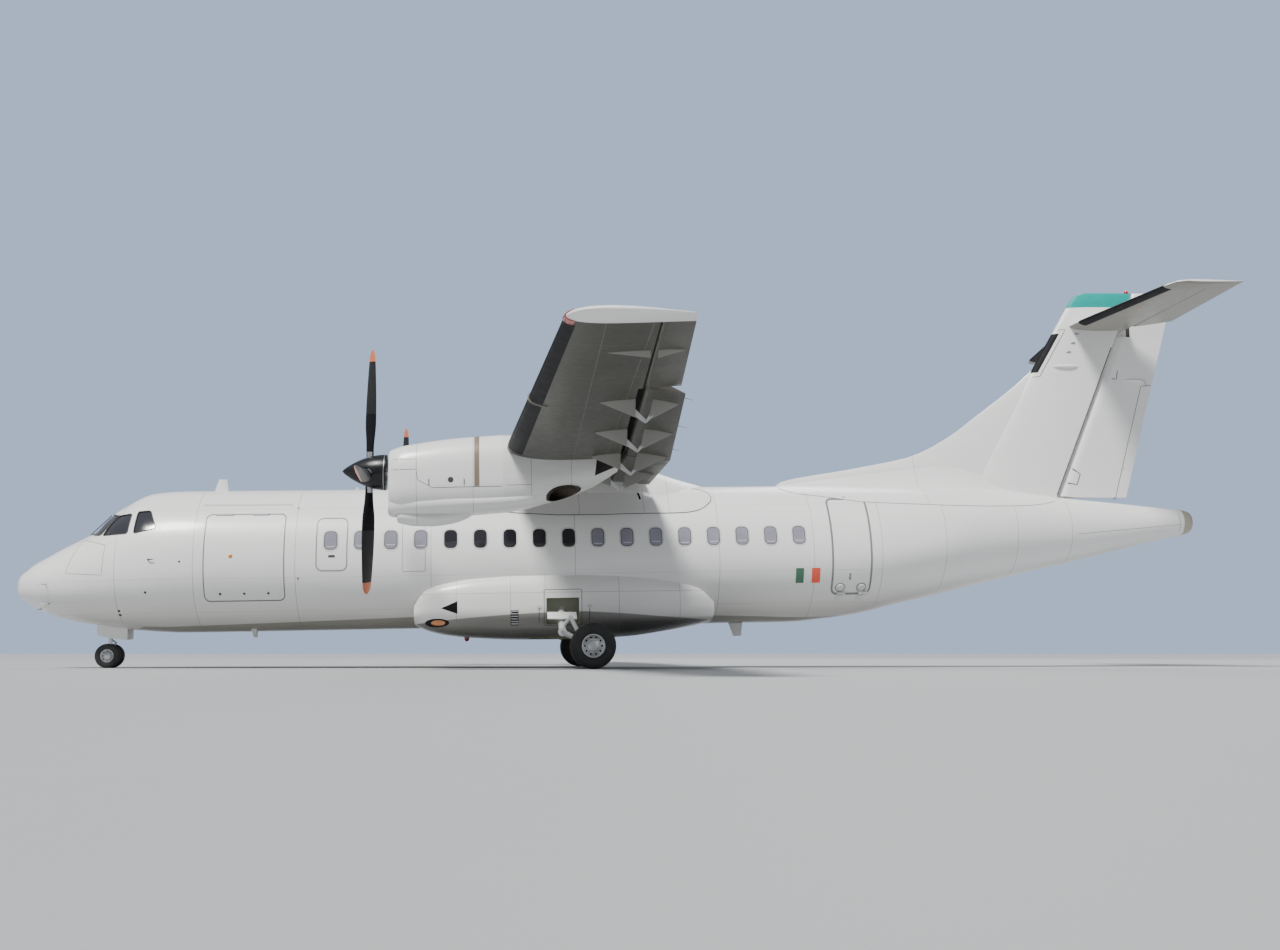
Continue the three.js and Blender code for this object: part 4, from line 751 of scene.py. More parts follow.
def foil(x):
    return 5 * (.2969 * np.sqrt(x) - .126 * x - .3516 * x**2 + .2843 * x**3 - .1036 * x**4)


PEAK = foil(.3)


def slim(h):
    """Half thickness along the chord of a symmetric section, from its greatest half thickness."""
    return lambda x: foil(x) / PEAK * h + .003 * x


def section(leading, trailing, middle, half, front=None, rear=None, nose=0.0, n=26):
    """Section between two stations as (station, height); a front station gets an elliptic nose."""
    chord = trailing - leading
    rear = trailing if rear is None else min(rear, trailing)
    if front is None:
        start, t = leading, 1 - np.cos(np.linspace(0, np.pi / 2, n))
    else:
        start, t = front + nose, np.linspace(0, 1, n)
    st = start + t * (rear - start)
    x = np.clip((st - leading) / chord, 0, 1)
    up, low = middle(x) + half(x), middle(x) - half(x)
    pts = [(a, b) for a, b in zip(st[::-1], up[::-1])]
    if front is None:
        return np.array(pts + [(a, b) for a, b in zip(st[1:], low[1:])])
    m, h = float(middle(x[0])), float(half(x[0]))
    for a in np.linspace(np.pi / 2, -np.pi / 2, 14)[1:-1]:
        pts.append((start - nose * math.cos(a), m + h * math.sin(a)))
    return np.array(pts + [(a, b) for a, b in zip(st, low)])


def share_of(s, lead, chord):
    """Share of the way along a chord, at most 1 and at least 0."""
    return min(1.0, max(0.0, (s - lead) / chord))


INCIDENCE = math.tan(math.radians(2))
TIP = 11.9  # span where the wing's rounded tip starts


def wing_lines(span):
    """Leading edge, chord, mean line and half thickness of the wing, with a rounded tip."""
    y = abs(span)
    le, chord, ratio, height = [float(linear(WING, c, min(y, TIP))) for c in (1, 2, 3, 4)]
    if y > TIP:
        u = min(1.0, (y - TIP) / .385)
        e = 1 - math.sqrt(max(0.0, 1 - u * u))
        le += .03 * u + .30 * e
        chord = 11.017 - .02 * u - le - .04 * e
        ratio *= max(.1, math.sqrt(max(0.0, 1 - u * u)))
        height += .016 * u
    middle = lambda x: height - x * chord * INCIDENCE + .08 * chord * x * (1 - x)
    return le, chord, middle, lambda x: foil(x) * ratio * chord + .003 * x


def wing_section(span, front, rear, nose):
    le, chord, middle, half = wing_lines(span)
    p = section(le, le + chord, middle, half, front, rear, nose)
    return np.stack([p[:, 0], np.full(len(p), span), p[:, 1]], 1)


def wing_skin(side, up=1):
    """Wing skin place by station, span and offset."""
    def skin(s, y, off):
        le, chord, middle, half = wing_lines(y)
        x = share_of(s, le, chord)
        return s, side * y, float(middle(x) + up * (half(x) + off))
    return skin


def wing_under(span, station):
    return wing_skin(1, -1)(station, span, 0)[2]


def FLAT(x):
    """Mean line of a symmetric section."""
    return 0 * x


def thin_lines(table, where):
    """Leading edge, trailing edge and half thickness of a symmetric surface."""
    lead, trail, h = (float(linear(table, c, where)) for c in (1, 2, 3))
    return lead, trail, slim(h)


def thin_section(table, where, front, rear, nose):
    """Section of a symmetric surface as (station, offset from its plane)."""
    lead, trail, half = thin_lines(table, where)
    return section(lead, trail, FLAT, half, front, rear, nose, 22)


def thin_half(table, where, s):
    """Half thickness of a symmetric surface at a station."""
    lead, trail, half = thin_lines(table, where)
    return half(share_of(s, lead, trail - lead))


def thin_front(table, where, upper, lower):
    """Curve round a symmetric surface's leading edge."""
    lead, trail, half = thin_lines(table, where)
    return front_curve(lead, trail - lead, FLAT, half, upper, lower)


def about(points, a, b, angle):
    """Airframe points turned about a line."""
    a, b = np.asarray(a, float), np.asarray(b, float)
    k = (b - a) / np.linalg.norm(b - a)
    p = np.asarray(points, float) - a
    c, s = math.cos(angle), math.sin(angle)
    return a + p * c + np.cross(k, p) * s + np.outer(p @ k, k).reshape(p.shape) * (1 - c)


def stations(low, high, step):
    n = max(2, int(np.ceil((high - low) / step)) + 1)
    return np.unique(np.round(np.concatenate([np.linspace(low, high, n), [low + .004, high - .004]]), 5))


def pin(path):
    """Hinge pin along airframe places."""
    return tube(path, .01, "steel")


# Fuselage

def round_corners(outline, r, steps=4):
    pts = [np.asarray(p, float) for p in outline]
    out = []
    for a, b, c in zip(pts[-1:] + pts[:-1], pts, pts[1:] + pts[:1]):
        u, v = a - b, c - b
        lu, lv = np.linalg.norm(u), np.linalg.norm(v)
        k = min(r, .45 * min(lu, lv))
        p0, p1 = b + u / lu * k, b + v / lv * k
        out += [(1 - t)**2 * p0 + 2 * t * (1 - t) * b + t * t * p1 for t in np.linspace(0, 1, steps + 1)]
    return np.array(out)


def shell(where, material):
    return loft([hull.ring(s) for s in where], material)


def room(s0, s1, reach, z0, z1):
    """Cutter with a floor and lined walls."""
    ob = prism(rounded_box(s0, s1, z0, z1, .02, 2), "y", -reach, reach, ["lining", "floor"])
    floor = min(f.center.z for f in ob.data.polygons if abs(f.normal.z) > .9)
    for f in ob.data.polygons:
        if abs(f.normal.z) > .9 and f.center.z < floor + .05:
            f.material_index = 1
    return ob


SIDE_PANES = (((1.745, .535), (1.925, .915), (2.24, .943), (2.225, .557)),
              ((2.335, .553), (2.345, .975), (2.58, .985), (2.735, .645)))
FRONT_PANE = ((.035, .65), (.035, 1.035), (.78, .915), (.96, .545))


def front_station(y, z):
    """Station where the nose skin over a span reaches a height."""
    skin = hull.roof()
    low, high = 1.0, 2.4
    for _ in range(30):
        mid = (low + high) / 2
        if abs(y) < hull.row(mid)[0] and skin(mid, y, 0)[2] > z:
            high = mid
        else:
            low = mid
    return low


def build_nose():
    piece("radome_shell", shell(np.append(.598 * np.linspace(0, 1, 30)**2, .6), "composite"),
          "airframe", "composite_white", "radome")
    nose = shell(stations(.6003, 3.2997, .045), "skin")
    panes = [round_corners(pane, .05) for pane in SIDE_PANES]
    front = round_corners(FRONT_PANE, .05)
    cutters = []
    for side in (1, -1):
        cutters += [prism(pane, "y", *sorted((side * .6, side * 1.6)), "seal") for pane in panes]
        cutters.append(prism([(side * y, z) for y, z in front], "s", 1.15, 2.15, "seal"))
    cutters.append(prism(rounded_box(1.475, 2.04, -1.4, -.64, .01, 2), "y", -.22, .22, "bay"))
    piece("nose_shell", boolean(nose, cutters), "airframe", "white_skin", "fuselage_nose")
    pane = loft([hull.ring(s, -.012) for s in stations(1.25, 2.85, .05)], "glass")
    border = [(1.2, .43), (2.9, .43), (2.9, 1.15), (1.2, 1.15)]
    boolean(pane, [prism(border, "y", -1.5, 1.5, "glass")], "INTERSECT")
    piece("flight_deck_glass", pane, "airframe", "glazing", "flight_deck_glazing")
    bits = []
    for side in (1, -1):
        on_nose = lambda points: [(front_station(side * y, z), side * y) for y, z in points]
        bits += [strip(hull.side(side), densify(pane, .08), .016, "seal", .003) for pane in panes]
        bits.append(strip(hull.roof(), on_nose(densify(front, .08)), .016, "seal", .003))
        wiper = [hull.roof()(s, y, .02) for s, y in on_nose(((.12, .60), (.30, .95)))]
        bits.append(tube(np.linspace(*wiper, 8), .008, "seal", 8))
    piece("pane_seals_and_wipers", bits, "airframe", "white_skin")


def hinge_at(s, z):
    """Span and height of a hinge line just outside the skin."""
    half, top, widest, bottom = hull.row(s)
    reach = top - widest if z >= widest else widest - bottom
    y = half * math.sqrt(1 - ((z - widest) / reach)**2)
    n = np.array([y / half**2, (z - widest) / reach**2])
    n /= np.linalg.norm(n)
    return y + n[0] * .004, z + n[1] * .004


KNUCKLE, KNUCKLE_SPACE = .026, .032  # radii of a hinge's part and of the space cut for it
DOORWAY_CORNER = .09


def knuckles(runs, at_, material="gear", radius=KNUCKLE):
    """Turning parts of a door's hinge between stations."""
    y, z = at_
    return [tube([(a, y, z), ((a + b) / 2, y, z), (b, y, z)], radius, material, 24) for a, b in runs]


def opened(body, hollow, door, cuts, at_):
    """Fuselage section with a room, a doorway and places for the door's knuckles."""
    return boolean(body, [room(*hollow), prism(rounded_box(*door, DOORWAY_CORNER), "y", .5, 1.7, "lining"),
                          *knuckles(cuts, at_, "seal", KNUCKLE_SPACE)])


# stations and heights of the doorways
CARGO = (3.61, 5.0, -.67, .88)
STAIR = (14.98, 15.69, -.70, 1.07)
STAIR_OPEN = math.radians(128)


def build_cargo():
    skin = hull.side(1)
    body = shell(stations(3.3, 5.3497, .12), "skin")
    at_ = hinge_at(4.3, CARGO[3])
    opened(body, (3.55, 5.1, .95, *CARGO[2:]), CARGO, [(3.754, 3.966), (4.394, 4.606)], at_)
    piece("fuselage_forward_shell.001",
          [body, *knuckles([(3.9605, 4.06), (4.6005, 4.7)], at_),
           strip(skin, scaled(soft_box(*CARGO, DOORWAY_CORNER), -.008), .014, "seam")],
          "airframe", "white_skin", "fuselage_forward")
    s0, s1, z0, z1 = 3.616, 4.994, -.664, .874
    door = [plate(skin, soft_box(s0, s1, z0, z1, .085), -.06, 0, "skin", 8),
            dome(skin, (4.075, .11), (.036, .036), .010, "amber")]
    for k in range(6):
        s = s0 + .09 + k * (s1 - s0 - .18) / 5
        door.append(plate(skin, box(s - .018, s + .018, z0 + .05, z1 - .09), -.085, -.055, "bay", 2))
    for z in (-.5, -.1, .3, .62):
        door.append(plate(skin, box(s0 + .06, s1 - .06, z - .02, z + .02), -.082, -.055, "bay", 2))
    for s in (3.88, 4.3, 4.72):
        door.append(plate(skin, rounded_box(s - .022, s + .022, -.57, -.53, .018), -.01, .004, "seal", 2))
    door += knuckles([(3.76, 3.96), (4.4, 4.6)], at_)
    piece("cargo_door_panel", door, "cargo_door", "white_skin", "cargo_door")


def build_stair():
    skin = hull.side(1)
    body = shell(stations(14.55, 16.1997, .1), "skin")
    y, z = at_ = hinge_at(STAIR[0], STAIR[2])
    opened(body, (14.75, 15.95, .9, STAIR[2], 1.0), STAIR, [(15.074, 15.186), (15.484, 15.596)], at_)
    lug = lambda low, high: [(y - .07, z + low), (y, z + low), (y, z + high), (y - .07, z + high)]
    lugs = lambda runs, *heights: [prism(lug(*heights), "s", a, b, "gear") for a, b in runs]
    fixed, moving = [(15.1805, 15.24), (15.5905, 15.65)], [(15.08, 15.18), (15.49, 15.59)]
    piece("fuselage_aft_shell",
          [body, *knuckles(fixed, at_), *lugs(fixed, -.044, -.008),
           strip(skin, scaled(soft_box(*STAIR, DOORWAY_CORNER), -.017), .032, "seam"),
           dome(skin, (15.13, -.785), (.075, .04), .016, "frame"),
           dome(skin, (15.54, -.785), (.075, .04), .016, "frame"),
           dome(skin, (15.33, 1.125), (.05, .02), .012, "steel")],
          "airframe", "white_skin", "fuselage_aft")
    door = [plate(skin, soft_box(14.986, 15.684, -.694, 1.064, .085), -.06, 0, "skin", 8),
            *knuckles(moving, at_), *lugs(moving, .01, .044)]
    heights = np.linspace(-.6, .9, 16)
    for s in (15.035, 15.609):
        side = [(skin(s, h, 0)[1], h) for h in heights]
        out = [(v - .045, h) for v, h in side] + [(v - .13, h) for v, h in side[::-1]]
        door.append(prism(out, "s", s, s + .026, "steel"))
    tilt = STAIR_OPEN - math.pi / 2  # the treads are level when the door is fully open
    along, down = np.array([-math.cos(tilt), -math.sin(tilt)]), np.array([math.sin(tilt), -math.cos(tilt)])
    for k in range(5):
        h = -.70 + .33 + k * .29
        root = np.array([skin(15.3, h, 0)[1] - .05, h])
        tread = [root, root + along * .23, root + along * .23 + down * .026, root + down * .026]
        door.append(prism(round_corners(tread, .008, 3), "s", 15.036, 15.634, "steel"))
        for j in range(5):
            a = root + along * (.035 + j * .042)
            grip = [a, a + along * .018, a + along * .018 - down * .003, a - down * .003]
            door.append(prism(grip, "s", 15.07, 15.60, "tyre"))
    for s in (15.13, 15.54):
        door.append(dome(skin, (s, -.60), (.085, .062), .042, "frame"))
        door.append(strip(skin, ellipse(s, -.60, .092, .069, 32), .014, "seam", .002))
    door.append(plate(skin, rounded_box(15.285, 15.32, -.46, -.35, .012), -.01, .003, "seal", 2))
    door.append(plate(skin, rounded_box(15.292, 15.313, -.44, -.37, .008), -.01, .007, "steel", 2))
    piece("airstair_door", door, "passenger_door", "white_skin", "passenger_door")
    panel, skin = soft_box(15.02, 15.63, -.70, .52, .07), hull.side(-1)
    piece("service_door_panel",
          [plate(skin, panel, -.06, .0015, "skin", 8), strip(skin, panel, .012, "seal", .003),
           plate(skin, rounded_box(15.1, 15.28, .10, .14, .012), -.01, .014, "steel", 2)],
          "airframe", "white_skin", "service_door")


def build_body():
    piece("centre_shell", shell(stations(5.35, 14.5497, .3), "skin"), "airframe", "white_skin",
          "fuselage_centre")
    piece("tail_shell", shell(stations(16.2, 19.9997, .1), "skin"), "airframe", "white_skin", "fuselage_tail")
    bits = [shell(stations(20.0, 22.64, .06), "composite"),
            loft([hull.ring(s, .003) for s in stations(22.40, 22.637, .02)], "beige")]
    bits += [line(hull.side(side), [(20.03, .39), (22.33, .585)], .007, "seam") for side in (1, -1)]
    bits += [line(hull.side(side), [(s, z0), (s, z1)], .008, "seam", .0045)
             for side in (1, -1) for s, z0, z1 in ((22.3, .36, .9), (22.41, .40, .88))]
    piece("tail_cone_shell", bits, "airframe", "composite_white", "tail_cone")


WINDOWS = [5.82 + .533 * k for k in range(17)]
WITHOUT_BLINDS = range(4, 9)


def window_outline(s, grow=0.0):
    """Rounded window at a station; every outline has the same number of points."""
    w = .235 / 2 + grow
    corners = rounded_box(s - w, s + w, .205 - grow, .545 + grow, .088 + grow, 5)
    out = []
    for k in range(4):
        arc = [np.array(p) for p in corners[6 * k:6 * k + 6]]
        nxt = np.array(corners[(6 * k + 6) % 24])
        out += arc + [arc[-1] + (nxt - arc[-1]) * t for t in (.25, .5, .75)]
    return np.array(out)


def build_windows():
    rims, panes, blinds = [], [], []
    for side in (1, -1):
        skin = hull.side(side)
        for k, s in enumerate(WINDOWS):
            rims.append(plate(skin, window_outline(s, .026), -.01, .0032, "frame", inner=window_outline(s)))
            panes.append(plate(skin, window_outline(s, .004), -.01, .0015, "pane", 5))
            if k not in WITHOUT_BLINDS:
                low = .255 + .012 * ((k * 7) % 3)
                blinds += [plate(skin, window_outline(s, -.011), -.01, .0024, "blind", 5),
                           plate(skin, rounded_box(s - .075, s + .075, low, low + .012, .005, 2),
                                 -.004, .0034, "frame", 1)]
    piece("cabin_window_rims", rims, "airframe", "white_skin")
    piece("cabin_window_panes", panes, "airframe", "glazing")
    piece("cabin_window_blinds", blinds, "airframe", "white_skin")


# Wing

def section_loft(spans, material, front=None, rear=None, nose=0.0, turn=None):
    """Part of the wing between two stations that are functions of the span, turned about a line or not."""
    rings = np.array([wing_section(y, front and front(y), rear and rear(y), nose) for y in spans])
    return loft(rings if turn is None else about(rings, *turn), material, sharp=28)


FLAP_REST = math.radians(12)
SLOT = .02  # between the wing box and a flap
# span, half width and front tip of the fairings of the flaps' hinges
TRACKS = ((2.5, .12, 10.25), (4.6, .12, 10.3), (6.4, .105, 10.25), (8.3, .095, 10.2))
# spans of the flaps' ends
INBOARD, OUTBOARD = (1.016, 4.362), (4.402, 8.93)
# span, keel station and depth of the fairing below the aileron's hinge
AILERON_POD = (10.8, 10.70, .085)
TIP_SPANS = np.array([11.995, 12.0, 12.05, 12.1, 12.15, 12.19, 12.22, 12.245, 12.262, 12.275, 12.282, 12.285])


def flap_hinge(y):
    """Station and height of the flaps' hinge line."""
    t = max(0.0, (y - 4.4) / 4.53)
    return 10.95 - .155 * t, 1.11 + .31 * t


def cove(y):
    """Station where the wing box ends before a flap."""
    return 10.78 - .125 * max(0.0, (abs(y) - 4.4) / 4.565)


def aileron_axis(y):
    """Station and height of the ailerons' hinge line, and their reach before it."""
    t = (abs(y) - 9) / 2.98
    return 10.79 - .12 * t, 1.765 + .147 * t, .064 - .026 * t


def aileron_front(y):
    station, _, reach = aileron_axis(y)
    return station - reach


def shroud(side, low, high):
    """Thin lip of the wing's upper skin that closes a flap's slot from above; its downward faces are
    near-black painted shade of the cove.
    """
    skin, rings = wing_skin(side), []
    # station behind the box's end, and offsets of the lip's upper and lower face
    row = [(-.07, -.012, .001), (-.02, .003, .007), (.04, .003, .009), (.12, .003, .008), (.2, .003, .006)]
    for y in np.linspace(low, high, 8):
        rings.append([skin(cove(y) + d, y, off) for d, off, _ in row]
                     + [skin(cove(y) + d, y, off) for d, _, off in row[::-1]])
    ob = loft(rings, ["top", "dark"])
    # downward faces take the near-black paint: painted shade of the cove
    for f in ob.data.polygons:
        f.material_index = 0 if f.normal.z > 0 else 1
    return ob


def shaded_underside(ob, kind, coat="top", up=1):
    """Give a piece's upward faces of one paint, or its downward ones, another paint; either way the downward
    faces end up darker, as painted shade.
    """
    ob.data.materials.append(paint[coat])
    mats = list(ob.data.materials)
    for f in ob.data.polygons:
        if f.normal.z * up > .05 and mats[f.material_index] == paint[kind]:
            f.material_index = len(mats) - 1
    return ob


def keel_ring(s, side, y, w, heights, top):
    """Section of a fairing below the wing, from its lower side's heights across its width."""
    low = [(s, side * (y + w * v), z) for v, z in zip(np.linspace(-1, 1, len(heights)), heights)]
    return low + [(s, side * (y + w), top), (s, side * (y - w), top)]


def fairing_half(side, y, half, tip, root, keel):
    """Rings of half a flap's hinge fairing, from its tip to its wide end."""
    depth, tip_low = flap_hinge(y)[1], wing_under(y, tip)
    rings = []
    for s in np.linspace(tip, root, 14):
        t = (s - tip) / (root - tip)
        under = wing_under(y, s)
        low = tip_low - .006 + (depth - tip_low + .006) * ((s - tip) / (keel - tip))
        w = .006 + (half - .006) * math.sin(math.pi / 2 * min(1, t * 1.25))**.8
        heights = low + (under - .001 - low) * np.abs(np.linspace(-1, 1, 19))**1.25
        rings.append(keel_ring(s, side, y, w, heights, under + .010 + .02 * min(1, 3 * t)))
    return rings


def aileron_pod(side, tip, root):
    """Half of the keel fairing below the aileron, from its tip to its wide end."""
    y, keel, depth = AILERON_POD
    rings = []
    for s in np.linspace(tip, root, 10):
        share = abs(s - tip) / abs(keel - tip)
        under = wing_under(y, s)
        w = .004 + .05 * math.sin(math.pi / 2 * min(1, share * 1.2))
        heights = under - (.004 + depth * share) * (1 - np.abs(np.linspace(-1, 1, 15))**1.3)
        rings.append(keel_ring(s, side, y, w, heights, under + .008))
    return loft(rings, "pod")


def track(side, y, half, tip):
    """Fixed half of a flap's hinge fairing, and the bracket in it that holds the hinge's pin."""
    s, z = flap_hinge(y)
    c = cove(y)
    keel = wing_under(y, tip) + (z - wing_under(y, tip)) * (c - tip) / (s - tip)
    out = [(c - .04, keel + .04), (s - .008, z - .02), (s + .012, z - .012), (s + .02, z),
           (s + .008, z + .02), (c - .04, keel + .16)]
    return [loft(fairing_half(side, y, half, tip, c, s), "pod"),
            prism(out, "y", side * y - .008, side * y + .008, "gear")]


def flap_turn(side, *ends):
    """Hinge line between two spans, and the turn about it to where a flap rests."""
    a, b = ((flap_hinge(y)[0], side * y, flap_hinge(y)[1]) for y in ends)
    return a, b, side * FLAP_REST


def flap(side, y0, y1, tracks):
    """A flap with the moving halves of its hinges."""
    turn = flap_turn(side, y0, y1)
    front = lambda y: cove(y) + SLOT
    parts = [section_loft(side * np.linspace(y0, y1, 9), "flap", front=front, nose=.075, turn=turn)]
    for y, half, _ in tracks:
        h, z = flap_hinge(y)
        le, chord = wing_lines(y)[:2]
        parts.append(loft(about(fairing_half(side, y, half, le + chord - .06, h + .03, h), *turn), "pod"))
        for off in (-.022, .014):
            cheek = [(h + p, z + q) for p, q in
                     ((-.014, 0), (0, -.014), (.016, -.006), (.11, .15), (.06, .2), (-.006, .014))]
            rings = [[(p, side * y + off + d, q) for p, q in cheek] for d in (0, .008)]
            parts.append(loft(about(rings, *turn), "gear"))
        parts.append(pin([(h, side * y + d, z) for d in (-.022, 0, .022)]))
    return shaded_underside(joined(parts), "flap")


def build_wing():
    centre = [section_loft(np.linspace(-1.004, 1.004, 3), "inner")]
    for side, _ in SIDES:
        centre += [section_loft(side * np.linspace(1.003, 4.4, 9), "inner", rear=cove),
                   *track(side, *TRACKS[0]), shroud(side, 1.02, 4.36)]
    piece("wing_centre_box", shaded_underside(joined(centre), "inner"), "airframe", "grey_skin", "wing_centre")
    for side, tag in SIDES:
        outer = [section_loft(side * np.linspace(4.4003, 8.965, 11), "wing", rear=cove),
                 section_loft(side * np.linspace(8.964, 11.995, 8), "wing",
                              rear=lambda y: aileron_front(y) - .012),
                 section_loft(side * TIP_SPANS, "composite")]
        for row in TRACKS[1:]:
            outer += track(side, *row)
        outer += [shroud(side, 4.41, 8.93), aileron_pod(side, 10.12, AILERON_POD[1] - .075)]
        node = f"wing_outer_{tag}"
        piece(f"wing_outer_box_{tag}", shaded_underside(joined(outer), "wing"), "airframe", "grey_skin", node)
        for name, ends, tracks in (("inboard", INBOARD, TRACKS[:1]), ("outboard", OUTBOARD, TRACKS[1:])):
            node = f"flap_{name}_{tag}"
            piece(f"flap_{name}_panel_{tag}", flap(side, *ends, tracks), node, "grey_skin", node)
        hinge = [(aileron_axis(y)[0], side * y, aileron_axis(y)[1]) for y in (11.952, 11.99, 12.023)]
        parts = [section_loft(side * np.linspace(9.0, 11.98, 8), "flap", front=aileron_front, nose=.06),
                 aileron_pod(side, 11.05, AILERON_POD[1] + .012), pin(hinge)]
        node = f"aileron_{tag}"
        piece(f"aileron_panel_{tag}", shaded_underside(joined(parts), "flap"), node, "grey_skin", node)


# Fairings

# station and height of the wing fairing's lower edge
SKIRT = np.array([(8.08, 1.29), (8.25, 1.10), (8.42, .985), (8.75, .91), (9.16, .86), (9.91, .812),
                  (10.7, .812), (11.4, .825), (12.0, .83), (12.34, .84), (12.6, .905), (12.77, 1.06)])
# the same for the fin's dorsal fillet
DORSAL_EDGE = np.array([(14.15, 1.36), (14.41, 1.225), (14.97, 1.14), (15.6, 1.03), (16.26, .99), (17.2, .95),
                        (18.1, .93), (19.0, .95), (19.4, .99), (19.7, 1.07)])
SKIN_STEP = .0065  # the fairings' edges stand off the fuselage by this


def edge_at(table, s):
    return float(np.interp(s, *table.T))


def outside(s, p):
    """Point of a cross-section moved out to the fuselage skin where it lies within it."""
    half, top, widest, _ = hull.row(s)
    rel = np.array([p[0], p[1] - widest])
    reach = math.hypot(rel[0] / (half + SKIN_STEP), rel[1] / (top - widest + SKIN_STEP))
    return p if reach >= 1 else np.array([0, widest]) + rel / max(reach, .05)


def fillet(s, start, low, pull):
    """Concave side of a cross-section from a place down to a height on the fuselage skin."""
    end = np.array(hull.side(1)(s, low, SKIN_STEP)[1:])
    knee = start + (end - start) * pull
    return np.array([outside(s, start * (1 - t)**2 + knee * 2 * t * (1 - t) + end * t**2)
                     for t in np.linspace(0, 1, 18)])


def thin_ring(s, side, outer):
    """Section of a shell with a given outer side as (span, height)."""
    centre = np.array([0, .3])
    rel = outer - centre
    inner = centre + rel * (1 - .035 / np.hypot(*rel.T))[:, None]
    ring = np.concatenate([outer, inner[::-1]])
    return np.stack([np.full(len(ring), s), side * ring[:, 0], ring[:, 1]], 1)


def dorsal_ring(s, side):
    ridge = float(np.interp(s, DORSAL[:, 1], DORSAL[:, 0]))
    grown = min(1, max(0, s - 14.4) / 3) * min(1, max(0, 19.9 - s) / 2)
    high = min(ridge - .012, hull.row(s)[1] + .04 + .36 * grown)
    start = np.array([.004 + .088 * min(1, max(0, (s - 14.3) / 1.4)), high])
    return thin_ring(s, side, fillet(s, start, edge_at(DORSAL_EDGE, s), (.22, .74)))


def skirt_curve(s):
    """Side of the wing fairing at a station as (span, height), down to its edge on the fuselage."""
    half, top, widest, _ = roof_hull.row(s)
    share = float(np.interp(s, (8.28, 9.0, 11.8, 12.5), (.55, .785, .785, .55)))
    start = np.array([half * share, widest + (top - widest) * math.sqrt(1 - share**2)])
    return fillet(s, start, edge_at(SKIRT, s), (.40, .58))


def skirt_skin(side):
    """Skin of the wing fairing's side by station, height and offset."""
    def skin(s, z, off):
        curve = skirt_curve(s)
        return s, side * (float(np.interp(z, curve[::-1, 1], curve[::-1, 0])) + off), z
    return skin


def build_fairings():
    cutters, pocket = [], rounded_box(9.66, 10.25, -1.19, -.72, .02, 3)
    for side, _ in SIDES:
        cutters += [prism(ellipse(9.77, side * .54, .43, .43, 48), "z", -1.7, -1.0, "bay"),
                    prism(pocket, "y", *sorted((side * 1.24, side * 1.7)), "bay")]
    belly = loft([belly_hull.ring(s) for s in stations(7.28, 12.76, .1)], "belly")
    piece("belly", boolean(belly, cutters), "airframe", "grey_skin", "belly_fairing")
    edge = [(8.035, 1.40), (8.05, 1.35), *((s, edge_at(SKIRT, s)) for s in np.linspace(8.08, 12.77, 40)),
            (12.77, 1.06), (12.80, 1.15), (12.77, 1.24), (12.66, 1.31), (12.5, 1.36)]
    slot = [(11.30, 1.40), (11.35, 1.35), (11.40, 1.27), (11.43, 1.19), (11.45, 1.11)]
    bits = [loft([roof_hull.ring(s) for s in stations(7.9, 12.75, .08)], "fairing")]
    for side, _ in SIDES:
        bits += [loft([thin_ring(s, side, skirt_curve(s)) for s in stations(8.08, 12.77, .08)], "fairing"),
                 line(hull.side(side), edge, .011, "seal", .0085),
                 line(skirt_skin(side), slot, .035, "boot", .004, -.01),
                 plate(skirt_skin(side), rounded_box(9.50, 9.58, 1.28, 1.33, .022), -.01, .004, "frame", 2)]
    piece("wing_fairing_skin", bits, "airframe", "white_skin", "wing_body_fairing")


# Nacelles and propellers

THRUST = math.radians(2)
AXIS = np.array([-math.cos(THRUST), 0, math.sin(THRUST)])
FLIP = np.array([-1, 1, 1])

# station, centre height, half width, half height of the air intake's duct and of the chin scoop
DUCT = np.array([(7.05, .735, .19, .165), (7.09, .735, .235, .20), (7.2, .735, .27, .215),
                 (7.6, .73, .36, .21), (8.3, .735, .405, .19), (8.9, .76, .40, .175), (9.3, .80, .37, .155),
                 (9.62, .86, .30, .12)])
SCOOP = np.array([(7.20, .53, .17, .09), (7.24, .53, .2, .11), (7.45, .505, .225, .125),
                  (7.75, .495, .23, .125), (8.05, .515, .215, .11), (8.3, .56, .18, .075),
                  (8.42, .6, .12, .04)])
# height of an opening, then its station, half width and half height
DUCT_MOUTH = (.735, ((6.9, .215, .18), (7.06, .205, .17), (7.12, .195, .16), (7.5, .17, .13)))
SCOOP_MOUTH = (.53, ((7.1, .17, .085), (7.24, .16, .08), (7.5, .14, .06)))
# radius, chord, thickness, blade angle
BLADE = np.array([(.12, .118, .1, 62), (.42, .15, .078, 54), (.8, .262, .046, 44), (1.3, .3, .03, 34),
                  (1.78, .27, .018, 27), (1.94, .205, .012, 25), (1.98, .13, .008, 25)])
BLADE_RADII = np.unique(np.concatenate([np.linspace(.12, 1.7, 24), np.linspace(1.7, 1.978, 14), [1.79]]))


def cross(p, q):
    """Cross product of airframe directions, whose frame is left-handed."""
    return FLIP * np.cross(FLIP * p, FLIP * q)


def to_world(v):
    """Airframe direction to the row frame."""
    x, y, z = -v[0], v[1], v[2]
    return np.array([x * CP + z * SP, y, -x * SP + z * CP])


def thrust_points(side, *ahead):
    return [np.array([6.75, side * ENGINE_SPAN, 1.262]) + AXIS * a for a in ahead]


def duct_ring(s, side, z, a, b, power=2.0):
    t = turns(48)
    y = side * ENGINE_SPAN
    return np.stack([np.full(48, s), y + a * bend(np.cos(t), power), z + b * bend(np.sin(t), power)], -1)


def swept(table, side, power=2.0):
    where = np.unique(np.concatenate([np.linspace(*table[:2, 0], 6), np.linspace(*table[[1, -1], 0], 26)]))
    rows = [[float(smooth(table, c, s)) for c in (1, 2, 3)] for s in where]
    return loft([duct_ring(s, side, *row, power) for s, row in zip(where, rows)], "cowl")


